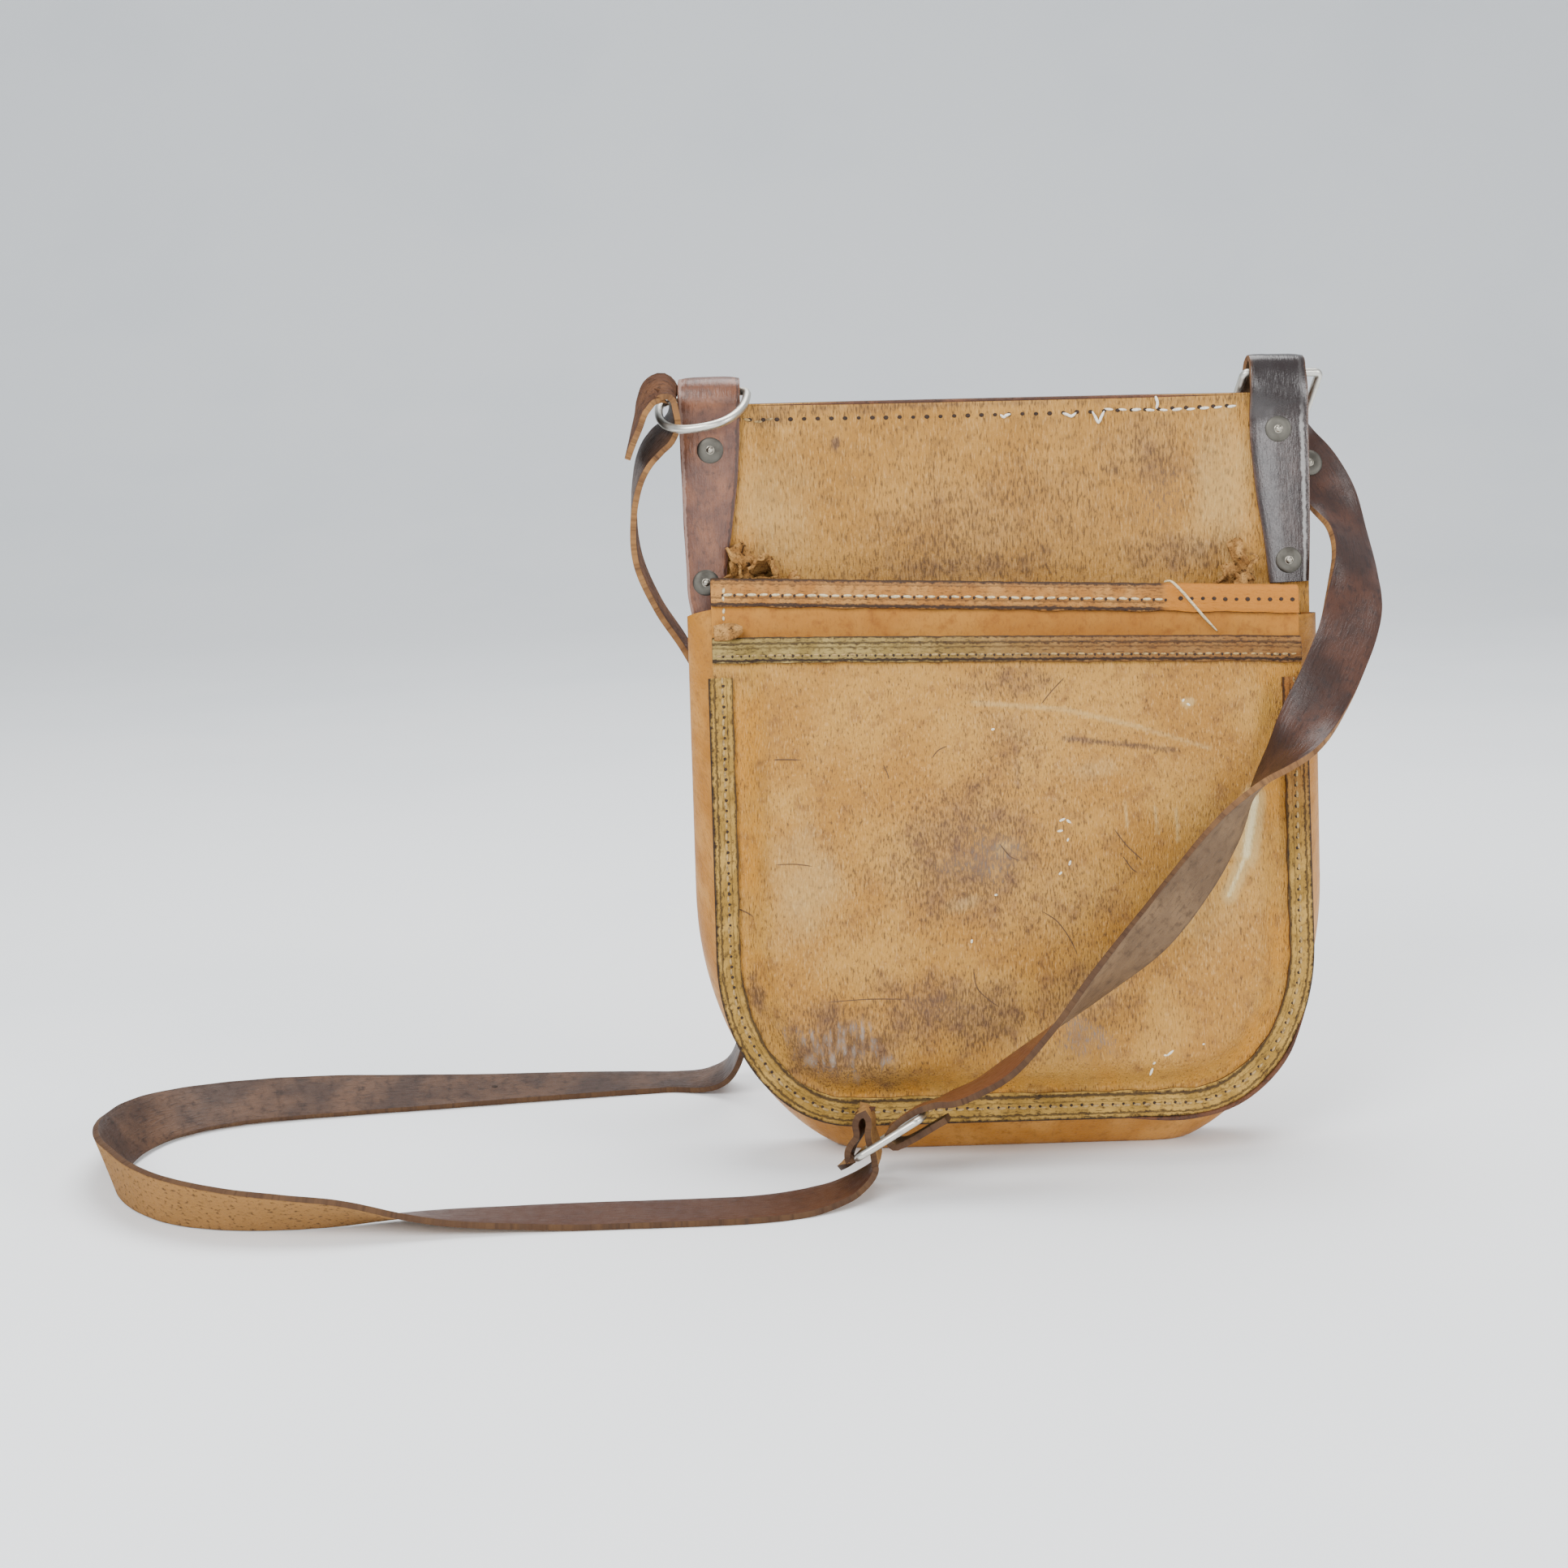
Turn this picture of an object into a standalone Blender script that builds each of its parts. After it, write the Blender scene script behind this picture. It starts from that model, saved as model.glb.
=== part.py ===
"""Leather shoulder satchel with two pockets and a long strap, as separate leather and metal pieces.

Lengths are metres. The bag stands on the flat of its bottom at the origin and leans back; its mouth is
up (+Z) and its front looks along -Y. The back frame has x to the right, y to the rear and z up the back
panel. The front frame is the same for the pocket wall, which leans back more, so the main pocket narrows
to its mouth.
"""
import math

import bmesh
import bpy
from mathutils import Matrix, Vector

MM = 0.001
GAP = 0.3 * MM

# How the bag stands
LEAN = math.radians(6.5)
WEDGE = math.radians(4.2)
POCKET_DEPTH = 30.0 * MM
REST_CENTRE = 7.0 * MM

# Leather and metal thicknesses
BACK_THICKNESS = 2.6 * MM
WALL = 2.0 * MM
TAB_THICKNESS = 2.2 * MM
STRAP_THICKNESS = 2.3 * MM
BINDING_THICKNESS = 1.5 * MM
ROUND_RING_WIRE = 1.6 * MM
SQUARE_RING_WIRE = 1.5 * MM
STRAP_RING_WIRE = 1.4 * MM

# Back panel
BACK_HALF = 118.5 * MM
BACK_BOTTOM = 1.6 * MM
BACK_CORNER = (74.0 * MM, 104.0 * MM)
BACK_TOP = (285.0 * MM, 283.4 * MM)
BACK_TOP_ROUND = 3.0 * MM

# Sewn edge of the front: outer face of the binding, and the leather layers inside it
SEAM_HALF = 112.3 * MM
SEAM_BOTTOM = 12.0 * MM
SEAM_CORNER = (50.0 * MM, 64.0 * MM)
LAYER_INSET = 1.8 * MM
MIDDLE_TOP = (217.0 * MM, 207.9 * MM)
FRONT_TOP = (194.3 * MM, 188.6 * MM)

# Front panel: flat sewn border, then the moulded rise and the crown
FLANGE_FRONT = 4.3 * MM
FLANGE_WIDTH = 10.3 * MM
BOTTOM_FLANGE_EXTRA = 1.4 * MM
SHOULDER_RISE = 7.0 * MM
SHOULDER_RUN = 13.0 * MM
CROWN = 7.0 * MM
CROWN_HEIGHT = 92.0 * MM
MOUTH_RISE = 0.62

# Main gusset
GUSSET_FRONT_TOP = (208.4 * MM, 199.2 * MM)
GUSSET_BACK_TOP = (204.0 * MM, 199.6 * MM)
GUSSET_FRONT_INSET = 4.0 * MM
GUSSET_BACK_INSET = 3.5 * MM
GUSSET_SIDE_BULGE = 6.6 * MM
GUSSET_BOTTOM_BULGE = 12.6 * MM

# Binding and hems
BINDING_WIDTH = 9.3 * MM
BINDING_LIP = 2.2 * MM
BINDING_TOP = (181.6 * MM, 175.9 * MM)
RIM_FRONT = 8.2 * MM
RIM_BACK = 6.6 * MM
HEM_FRONT = 10.6 * MM

# Tubular rivets, their holes and the cutters of those holes
RIVET_HEAD = 5.2 * MM
RIVET_SHANK = 1.8 * MM
RIVET_HOLE = 2.0 * MM
RIVET_WASHER = 4.0 * MM
WASHER_THICKNESS = 0.9 * MM
DRILL_LENGTH = 24.0 * MM
STRAP_DRILL_LENGTH = 14.0 * MM

# Depth of the tabs' two layers from the back panel's front face, middle of the leather
TAB_FRONT_DEPTH = -1.4 * MM
TAB_REAR_DEPTH = 4.0 * MM

# Tab rivets in the back frame: name, tab, x, z, whether it goes through the tab's rear layer
TAB_RIVETS = (
    ("rivet_left_upper", "tab_left", -109.3 * MM, 267.6 * MM, True),
    ("rivet_left_lower", "tab_left", -112.4 * MM, 217.5 * MM, False),
    ("rivet_right_upper", "tab_right", 106.8 * MM, 269.4 * MM, True),
    ("rivet_right_lower", "tab_right", 110.2 * MM, 219.6 * MM, False),
)

# Station of the short strap where the rivet of its upper fold sits
STRAP_RIVET_STATION = 13

# Rings: half width and depth of the D, width, height and corner of the others; the loose one from the foot
RING_LEFT_SIZE = (17.0 * MM, 29.0 * MM)
RING_LEFT_PLACE = (-111.3 * MM, 1.0 * MM, 288.2 * MM)
RING_LEFT_TURN = (math.radians(-62.0), math.radians(-6.5), math.radians(-6.0))
RING_RIGHT_SIZE = (31.0 * MM, 20.0 * MM, 2.0 * MM)
RING_RIGHT_PLACE = (108.2 * MM, 8.9 * MM, 283.6 * MM)
RING_RIGHT_TURN = (math.radians(42.0), 0.0, math.radians(13.0))
RING_STRAP_SIZE = (27.0 * MM, 28.0 * MM, 3.0 * MM)
RING_STRAP_PLACE = (-49.5 * MM, -58.6 * MM, 21.5 * MM)
RING_STRAP_TURN = (math.radians(-106.0), math.radians(-31.5), 0.0)

# How finely the outlines, straps, tabs and rivets are divided
SIDE_STEPS = 7
CORNER_STEPS = 12
BOTTOM_STEPS = 6
RIM_STEPS = 14
TURN_STEPS = 14
TAB_STEP = 9.0
STRAP_STEP = 8.0

# Material of each piece: name, colour, roughness, metallic
LOOKS = {
    "back_panel": ("back_leather", "B98B4B", 0.6, 0.0),
    "middle_panel": ("middle_leather", "C08C42", 0.55, 0.0),
    "main_gusset": ("gusset_leather", "C58B50", 0.55, 0.0),
    "front_panel": ("front_leather", "B58A4E", 0.5, 0.0),
    "rim_binding": ("rim_leather", "B08048", 0.6, 0.0),
    "front_hem": ("hem_leather", "8F7A52", 0.75, 0.0),
    "edge_binding": ("binding_leather", "927C48", 0.7, 0.0),
    "tab_left": ("left_tab_leather", "6B4232", 0.5, 0.0),
    "tab_right": ("right_tab_leather", "3A2C28", 0.3, 0.0),
    "strap_long": ("long_strap_leather", "4F352B", 0.5, 0.0),
    "strap_short": ("short_strap_leather", "4A3128", 0.5, 0.0),
    "ring_left": ("nickel_d_ring", "B9B8B0", 0.3, 1.0),
    "ring_right": ("nickel_frame", "C9C7BE", 0.3, 1.0),
    "ring_strap": ("nickel_loop", "C4C2B8", 0.3, 1.0),
    "rivet_left_upper": ("left_upper_rivet_steel", "7F8478", 0.45, 1.0),
    "rivet_left_lower": ("left_lower_rivet_steel", "7F8478", 0.45, 1.0),
    "rivet_right_upper": ("right_upper_rivet_steel", "7F8478", 0.45, 1.0),
    "rivet_right_lower": ("right_lower_rivet_steel", "7F8478", 0.45, 1.0),
    "rivet_strap": ("strap_rivet_steel", "7F8478", 0.45, 1.0),
}

# Columns of the moulded front from its left edge to its middle, closer where the border turns into the rise
FRONT_COLUMNS = (0.0, 0.018, 0.036, 0.054, 0.072, 0.092, 0.115, 0.15, 0.2, 0.27, 0.35, 0.425, 0.5)

# Gusset cross-section, from the sewn front edge to the back panel: share of the bulge, share of the depth
GUSSET_SECTION = (
    (0.00, 0.000), (0.06, 0.080), (0.30, 0.200), (0.60, 0.350), (0.84, 0.500),
    (0.97, 0.640), (1.00, 0.760), (0.86, 0.880), (0.52, 0.955), (0.00, 1.000),
)

# Loop of the left tab in the back frame, millimetres: x, y, z, width direction (x, y), half width
TAB_LEFT_ROUTE = (
    (-111.5, -1.4, 206.0, 1.0, 0.0, 6.6), (-112.0, -1.4, 212.0, 1.0, 0.0, 7.2),
    (-112.0, -1.4, 223.0, 1.0, 0.0, 7.6), (-111.0, -1.4, 240.0, 1.0, 0.0, 9.2),
    (-109.8, -1.4, 258.0, 1.0, 0.0, 10.6), (-109.5, -1.4, 271.0, 1.0, 0.0, 11.2),
    (-109.3, -2.6, 280.0, 1.0, 0.0, 11.2), (-109.2, -4.2, 288.0, 1.0, 0.0, 11.2),
    (-109.1, -2.6, 292.1, 1.0, 0.0, 11.2), (-109.1, 1.3, 293.7, 1.0, 0.0, 11.2),
    (-109.1, 5.2, 292.1, 1.0, 0.0, 11.2), (-109.2, 6.8, 288.0, 1.0, 0.0, 11.2),
    (-109.3, 5.6, 280.0, 1.0, 0.0, 11.2), (-109.5, 4.0, 271.0, 1.0, 0.0, 11.0),
    (-109.6, 4.0, 256.0, 1.0, 0.0, 10.4), (-110.0, 4.0, 236.0, 1.0, 0.0, 9.4),
)

# Loop of the right tab, turned a little at the top
TAB_RIGHT_ROUTE = (
    (110.4, -1.4, 211.2, 1.0, 0.0, 7.4), (110.2, -1.4, 217.0, 1.0, 0.0, 7.8),
    (109.6, -1.4, 230.0, 1.0, 0.0, 8.8), (108.2, -1.4, 250.0, 1.0, 0.0, 10.4),
    (107.4, -1.4, 266.0, 1.0, 0.0, 11.0), (107.2, -1.5, 274.0, 1.0, 0.0, 11.1),
    (107.1, -2.9, 282.0, 1.0, 0.1, 11.1), (107.0, -2.9, 287.0, 1.0, 0.16, 11.1),
    (107.0, -1.6, 292.6, 1.0, 0.22, 11.1), (107.0, 0.2, 295.4, 1.0, 0.24, 11.1),
    (106.8, 2.4, 296.3, 1.0, 0.24, 11.1), (106.4, 4.6, 295.2, 1.0, 0.24, 11.1),
    (106.2, 6.2, 292.0, 1.0, 0.22, 11.1), (106.2, 6.6, 286.0, 1.0, 0.14, 11.1),
    (106.4, 5.2, 280.0, 1.0, 0.04, 11.0), (106.8, 4.0, 276.0, 1.0, 0.0, 10.9),
    (107.0, 4.0, 270.0, 1.0, 0.0, 10.8), (107.4, 4.0, 256.0, 1.0, 0.0, 10.4),
    (108.0, 4.0, 238.0, 1.0, 0.0, 9.6),
)

# Long strap, millimetres from the bag's foot: x, y, z, width direction (x, y, z), half width
STRAP_LONG_ROUTE = (
    (-140.4, 22.1, 264.6, -0.1, 0.88, 0.47, 10.2), (-138.2, 22.1, 271.0, -0.1, 0.88, 0.47, 10.0),
    (-135.9, 22.1, 277.4, -0.1, 0.88, 0.47, 9.8), (-133.6, 22.1, 284.0, -0.1, 0.88, 0.47, 9.6),
    (-130.4, 22.1, 288.8, -0.1, 0.88, 0.47, 9.4), (-126.4, 22.1, 290.4, -0.1, 0.88, 0.47, 9.4),
    (-123.2, 22.1, 288.0, -0.1, 0.88, 0.47, 9.4), (-122.4, 22.1, 283.1, -0.1, 0.88, 0.47, 9.4),
    (-122.9, 22.1, 278.2, -0.1, 0.88, 0.47, 9.4), (-125.2, 22.1, 273.9, -0.1, 0.88, 0.47, 9.4),
    (-129.2, 22.1, 270.0, -0.1, 0.89, 0.45, 9.8), (-133.0, 22.3, 265.4, -0.1, 0.92, 0.4, 10.4),
    (-136.6, 22.8, 257.5, -0.08, 0.95, 0.3, 10.8), (-139.2, 25.0, 243.0, -0.04, 0.98, 0.18, 10.8),
    (-138.6, 28.5, 226.0, 0.0, 1.0, 0.1, 10.8), (-131.8, 33.0, 207.5, 0.0, 1.0, 0.06, 10.8),
    (-122.0, 37.5, 190.5, 0.0, 1.0, 0.05, 10.8), (-111.6, 40.0, 168.0, 0.0, 1.0, 0.0, 10.8),
    (-104.6, 40.5, 136.0, 0.0, 1.0, 0.0, 10.8), (-101.8, 41.0, 90.0, 0.0, 1.0, 0.0, 10.8),
    (-102.2, 47.0, 54.0, 0.0, 1.0, 0.1, 10.8), (-105.2, 56.0, 24.0, 0.0, 0.97, 0.2, 10.8),
    (-112.0, 64.0, 9.0, 0.05, 0.98, 0.12, 10.8), (-122.0, 69.5, 3.0, 0.05, 1.0, 0.04, 10.8),
    (-135.0, 72.6, 1.4, 0.04, 1.0, 0.0, 10.8), (-150.0, 71.0, 1.9, -0.04, 1.0, 0.04, 10.8),
    (-174.0, 67.6, 2.8, -0.1, 0.99, 0.12, 10.8), (-212.0, 61.8, 3.9, -0.1, 0.97, 0.22, 10.8),
    (-241.0, 57.2, 5.0, -0.1, 0.94, 0.33, 10.8), (-269.0, 52.6, 6.2, -0.12, 0.89, 0.44, 10.8),
    (-291.0, 48.4, 7.0, -0.16, 0.85, 0.5, 10.8), (-312.0, 42.6, 7.5, -0.26, 0.8, 0.54, 10.8),
    (-329.0, 33.0, 8.3, -0.5, 0.62, 0.62, 10.8), (-340.5, 20.0, 9.2, -0.66, 0.3, 0.7, 10.8),
    (-346.0, 2.0, 10.1, -0.58, 0.06, 0.82, 10.8), (-346.6, -17.0, 10.8, -0.42, -0.02, 0.91, 10.8),
    (-343.0, -34.0, 11.2, -0.26, -0.12, 0.96, 10.8), (-335.0, -49.0, 11.3, -0.15, -0.16, 0.98, 10.8),
    (-323.0, -64.5, 11.2, -0.15, -0.24, 0.96, 10.8), (-308.0, -76.0, 10.8, -0.12, -0.36, 0.93, 10.8),
    (-287.0, -84.0, 10.2, -0.06, -0.52, 0.85, 10.8), (-266.5, -86.6, 9.4, 0.0, -0.64, 0.77, 10.8),
    (-247.0, -86.0, 8.2, 0.0, -0.76, 0.65, 10.8), (-224.0, -83.0, 5.2, 0.0, -0.94, 0.34, 10.8),
    (-207.0, -81.0, 3.4, 0.0, -0.98, 0.17, 10.8), (-185.0, -79.4, 2.2, 0.0, -1.0, 0.07, 10.8),
    (-162.0, -78.4, 1.5, 0.0, -1.0, 0.0, 10.8), (-140.0, -78.0, 1.4, 0.0, -1.0, 0.0, 10.8),
    (-118.0, -77.6, 1.4, 0.04, -1.0, 0.0, 10.8), (-98.0, -76.2, 1.4, 0.16, -0.99, 0.0, 10.8),
    (-84.0, -72.6, 1.45, 0.3, -0.95, 0.0, 10.8), (-74.5, -68.4, 2.2, 0.38, -0.92, 0.06, 10.8),
    (-66.0, -63.6, 3.8, 0.3, -0.94, 0.14, 10.6), (-58.8, -60.2, 7.6, 0.1, -0.96, 0.2, 10.6),
    (-54.6, -58.8, 12.4, -0.08, -0.96, 0.24, 10.6), (-53.6, -58.6, 18.0, -0.14, -0.96, 0.24, 10.6),
    (-54.6, -58.6, 24.0, -0.14, -0.96, 0.24, 10.6), (-56.6, -58.6, 29.4, -0.14, -0.96, 0.24, 10.4),
    (-59.2, -58.6, 30.8, -0.14, -0.96, 0.24, 10.2), (-61.6, -58.6, 28.4, -0.14, -0.96, 0.24, 10.4),
    (-63.2, -58.6, 22.0, -0.14, -0.96, 0.24, 10.6), (-63.9, -58.7, 15.0, -0.14, -0.96, 0.24, 10.6),
    (-65.6, -59.6, 10.4, -0.06, -0.96, 0.22, 10.6), (-69.4, -62.6, 8.0, 0.1, -0.96, 0.18, 10.4),
)

# Short strap in the same columns, from the tail of its upper fold to the tail of its lower one
STRAP_SHORT_ROUTE = (
    (125.4, 41.0, 246.7, 0.84, 0.25, 0.48, 9.8), (121.0, 43.0, 252.7, 0.84, 0.25, 0.48, 10.2),
    (118.0, 44.05, 256.2, 0.85, 0.25, 0.46, 10.3), (114.4, 46.6, 260.9, 0.88, 0.24, 0.36, 10.4),
    (109.6, 49.6, 267.6, 0.95, 0.24, 0.1, 10.6), (107.5, 50.0, 272.4, 0.97, 0.23, 0.0, 10.6),
    (107.1, 49.0, 275.1, 0.97, 0.23, 0.0, 10.6), (106.8, 46.7, 276.1, 0.97, 0.23, 0.0, 10.6),
    (107.0, 44.4, 275.1, 0.97, 0.23, 0.0, 10.6), (107.4, 43.3, 272.4, 0.97, 0.23, 0.0, 10.6),
    (109.6, 42.8, 268.0, 0.95, 0.24, 0.1, 10.6), (115.2, 42.4, 260.6, 0.88, 0.24, 0.36, 10.6),
    (118.2, 41.45, 257.1, 0.85, 0.25, 0.46, 10.7), (121.2, 40.5, 253.6, 0.84, 0.25, 0.48, 10.8),
    (125.6, 38.5, 247.6, 0.86, 0.3, 0.4, 10.8), (129.4, 36.2, 240.8, 0.86, 0.4, 0.26, 10.8),
    (133.8, 30.4, 229.5, 0.78, 0.6, -0.1, 10.8), (135.1, 21.0, 217.0, 0.84, 0.38, -0.42, 10.8),
    (130.4, 5.0, 198.2, 0.95, -0.15, -0.25, 10.8), (120.6, -9.0, 180.7, 0.88, -0.3, -0.36, 10.8),
    (109.3, -18.5, 163.4, 0.79, -0.56, -0.25, 10.8), (102.7, -23.5, 154.4, 0.6, -0.8, -0.02, 10.8),
    (94.6, -28.0, 146.6, 0.33, -0.91, 0.24, 10.8), (87.4, -31.6, 139.8, 0.0, -0.91, 0.42, 10.8),
    (77.1, -36.6, 127.6, -0.4, -0.73, 0.56, 10.8), (64.2, -42.0, 111.6, -0.62, -0.47, 0.62, 10.8),
    (48.0, -47.4, 93.2, -0.5, -0.56, 0.66, 10.8), (27.6, -52.0, 75.0, -0.24, -0.84, 0.49, 10.8),
    (10.0, -55.2, 59.0, -0.12, -0.95, 0.28, 10.8), (-7.0, -57.4, 44.8, -0.02, -0.98, 0.2, 10.8),
    (-18.0, -58.3, 38.2, -0.08, -0.97, 0.22, 10.8), (-27.0, -58.6, 34.6, -0.12, -0.96, 0.24, 10.8),
    (-33.0, -58.6, 33.0, -0.14, -0.96, 0.24, 10.6), (-38.6, -58.6, 31.4, -0.14, -0.96, 0.24, 10.6),
    (-43.4, -58.6, 28.8, -0.14, -0.96, 0.24, 10.6), (-47.6, -58.6, 25.6, -0.14, -0.96, 0.24, 10.6),
    (-49.7, -58.6, 22.4, -0.14, -0.96, 0.24, 10.4), (-48.6, -58.6, 19.6, -0.14, -0.96, 0.24, 10.4),
    (-45.2, -58.6, 18.8, -0.14, -0.96, 0.24, 10.6), (-40.8, -58.6, 20.6, -0.14, -0.96, 0.24, 10.6),
    (-35.0, -58.6, 24.0, -0.14, -0.96, 0.24, 10.6), (-29.0, -58.6, 27.4, -0.14, -0.96, 0.24, 10.2),
)


def clear_scene():
    """Empties the scene of objects."""
    for item in list(bpy.data.objects):
        bpy.data.objects.remove(item, do_unlink=True)


def new_collection(name):
    """A collection under the scene's own one."""
    group = bpy.data.collections.new(name)
    bpy.context.scene.collection.children.link(group)
    return group


def linear(channel):
    """One sRGB channel, 0 to 1, as linear light."""
    return channel / 12.92 if channel <= 0.04045 else ((channel + 0.055) / 1.055) ** 2.4


def material(name, hex_colour, roughness, metallic):
    """A plain material of one colour."""
    made = bpy.data.materials.new(name)
    made.use_nodes = True
    shader = made.node_tree.nodes["Principled BSDF"]
    channels = [int(hex_colour[i:i + 2], 16) / 255.0 for i in (0, 2, 4)]
    colour = [linear(c) for c in channels] + [1.0]
    shader.inputs["Base Color"].default_value = colour
    shader.inputs["Roughness"].default_value = roughness
    shader.inputs["Metallic"].default_value = metallic
    made.diffuse_color = colour
    return made


def add_empty(group, name, parent, location, tilt):
    """A frame that pieces hang from, tilted about x."""
    frame = bpy.data.objects.new(name, None)
    frame.empty_display_size = 20.0 * MM
    frame.location = location
    frame.rotation_euler = (tilt, 0.0, 0.0)
    frame.parent = parent
    group.objects.link(frame)
    return frame


def add_piece(group, name, data, parent, location=(0.0, 0.0, 0.0), rotation=(0.0, 0.0, 0.0)):
    """A named piece with its own material."""
    piece = bpy.data.objects.new(name, data)
    piece.location = location
    piece.rotation_euler = rotation
    piece.parent = parent
    data.materials.append(material(*LOOKS[name]))
    group.objects.link(piece)
    return piece


def mesh_from(bm, name):
    """The bmesh as mesh data, with its faces turned outwards."""
    bmesh.ops.recalc_face_normals(bm, faces=bm.faces)
    mesh = bpy.data.meshes.new(name)
    bm.to_mesh(mesh)
    bm.free()
    return mesh


def grid_mesh(name, rows):
    """A rectangular grid whose corners lie at the given rows of points."""
    across = len(rows[0])
    bm = bmesh.new()
    bmesh.ops.create_grid(bm, x_segments=across - 1, y_segments=len(rows) - 1, size=1.0)
    bm.verts.ensure_lookup_table()
    for index, vertex in enumerate(bm.verts):
        vertex.co = rows[index // across][index % across]
    mesh = bpy.data.meshes.new(name)
    bm.to_mesh(mesh)
    bm.free()
    return mesh


def thicken(piece, thickness, offset):
    """Gives an open surface its leather thickness."""
    solid = piece.modifiers.new("thickness", "SOLIDIFY")
    solid.thickness = thickness
    solid.offset = offset
    solid.use_even_offset = True


def u_outline(half, bottom, corner, top):
    """Points down the left side, round the bottom and up the right side; top is (left, right) height."""
    corner_x, corner_z = corner
    points = []
    for step in range(SIDE_STEPS):
        points.append((-half, top[0] + (bottom + corner_z - top[0]) * step / SIDE_STEPS))
    for step in range(CORNER_STEPS):
        angle = 0.5 * math.pi * step / CORNER_STEPS
        x = corner_x * (1.0 - math.cos(angle)) - half
        points.append((x, bottom + corner_z * (1.0 - math.sin(angle))))
    for step in range(BOTTOM_STEPS + 1):
        points.append(((corner_x - half) * (1.0 - 2.0 * step / BOTTOM_STEPS), bottom))
    for step in range(1, CORNER_STEPS + 1):
        angle = 0.5 * math.pi * (1.0 - step / CORNER_STEPS)
        x = half - corner_x * (1.0 - math.cos(angle))
        points.append((x, bottom + corner_z * (1.0 - math.sin(angle))))
    for step in range(1, SIDE_STEPS + 1):
        points.append((half, bottom + corner_z + (top[1] - bottom - corner_z) * step / SIDE_STEPS))
    return points


def seam_outline(inset, top):
    """The sewn U edge of the front, moved inwards."""
    corner = (SEAM_CORNER[0] - inset, SEAM_CORNER[1] - inset)
    return u_outline(SEAM_HALF - inset, SEAM_BOTTOM + inset, corner, top)


def outward_normals(points):
    """Unit directions out of a U outline, one for each of its points."""
    normals = []
    for i in range(len(points)):
        before = points[max(i - 1, 0)]
        after = points[min(i + 1, len(points) - 1)]
        along = Vector((after[0] - before[0], after[1] - before[1])).normalized()
        normals.append((along.y, -along.x))
    return normals


def plate_mesh(name, outline, front, back):
    """A flat leather plate between two depths."""
    bm = bmesh.new()
    corners = [bm.verts.new((x, front, z)) for x, z in outline]
    face = bm.faces.new(corners)
    grown = bmesh.ops.extrude_face_region(bm, geom=[face])
    moved = [item for item in grown["geom"] if isinstance(item, bmesh.types.BMVert)]
    bmesh.ops.translate(bm, verts=moved, vec=(0.0, back - front, 0.0))
    return mesh_from(bm, name)


def smooth_step(value):
    """0 to 1 with a level start and end."""
    value = min(max(value, 0.0), 1.0)
    return value * value * (3.0 - 2.0 * value)


def edge_distance(x, z):
    """Rough distance inwards from the sewn U edge."""
    corner_x, corner_z = SEAM_CORNER
    over_x = abs(x) - (SEAM_HALF - corner_x)
    under_z = SEAM_BOTTOM + corner_z - z
    if over_x > 0.0 and under_z > 0.0:
        reach = math.hypot(over_x / corner_x, under_z / corner_z)
        slope = math.hypot(over_x / corner_x ** 2, under_z / corner_z ** 2)
        return (1.0 - reach) * reach / slope
    return min(SEAM_HALF - abs(x), z - SEAM_BOTTOM)


def front_rise(x, z):
    """How far the moulded front stands out from its flat border."""
    bottom_share = smooth_step((SEAM_BOTTOM + 70.0 * MM - z) / (60.0 * MM))
    flange = FLANGE_WIDTH + BOTTOM_FLANGE_EXTRA * bottom_share
    inside = edge_distance(x, z) - flange
    shoulder = SHOULDER_RISE * smooth_step(inside / SHOULDER_RUN)
    across = max(0.0, 1.0 - (x / (SEAM_HALF - FLANGE_WIDTH)) ** 2)
    height = (z - CROWN_HEIGHT) / (CROWN_HEIGHT if z < CROWN_HEIGHT else 1.9 * CROWN_HEIGHT)
    dome = CROWN * across * max(0.0, 1.0 - height * height) * smooth_step(inside / (0.6 * SHOULDER_RUN))
    mouth = 1.0 - (1.0 - MOUTH_RISE) * smooth_step((z - 120.0 * MM) / (75.0 * MM))
    return (shoulder + dome) * mouth


def slanted_top(top, x):
    """Height of a mouth that slants from the left edge to the right one."""
    return top[0] + (top[1] - top[0]) * (x + SEAM_HALF) / (2.0 * SEAM_HALF)


def panel_half_width(z, inset):
    """Half width of the sewn outline at a height."""
    corner_x = SEAM_CORNER[0] - inset
    corner_z = SEAM_CORNER[1] - inset
    below = (SEAM_BOTTOM + inset + corner_z - z) / corner_z
    if below <= 0.0:
        return SEAM_HALF - inset
    return SEAM_HALF - inset - corner_x * (1.0 - math.sqrt(max(0.0, 1.0 - min(below, 1.0) ** 2)))


def front_columns():
    """The front's columns from -1 at the left edge to 1 at the right one."""
    left = [2.0 * column - 1.0 for column in FRONT_COLUMNS]
    return left + [-column for column in reversed(left[:-1])]


def front_panel_rows():
    """Outer face of the moulded front, as rows from the bottom to the mouth."""
    low = SEAM_BOTTOM + LAYER_INSET
    shares = (0.0, 0.004, 0.012, 0.022, 0.034, 0.046, 0.058, 0.072, 0.088, 0.108, 0.132, 0.16, 0.195, 0.235,
              0.28, 0.335, 0.4, 0.47, 0.55, 0.64, 0.73, 0.82, 0.91, 1.0)
    rows = []
    for share in shares:
        row = []
        for column in front_columns():
            z = low + (slanted_top(FRONT_TOP, column * SEAM_HALF) - low) * share
            x = column * panel_half_width(z, LAYER_INSET)
            row.append((x, -FLANGE_FRONT - front_rise(x, z), z))
        rows.append(row)
    return rows


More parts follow.
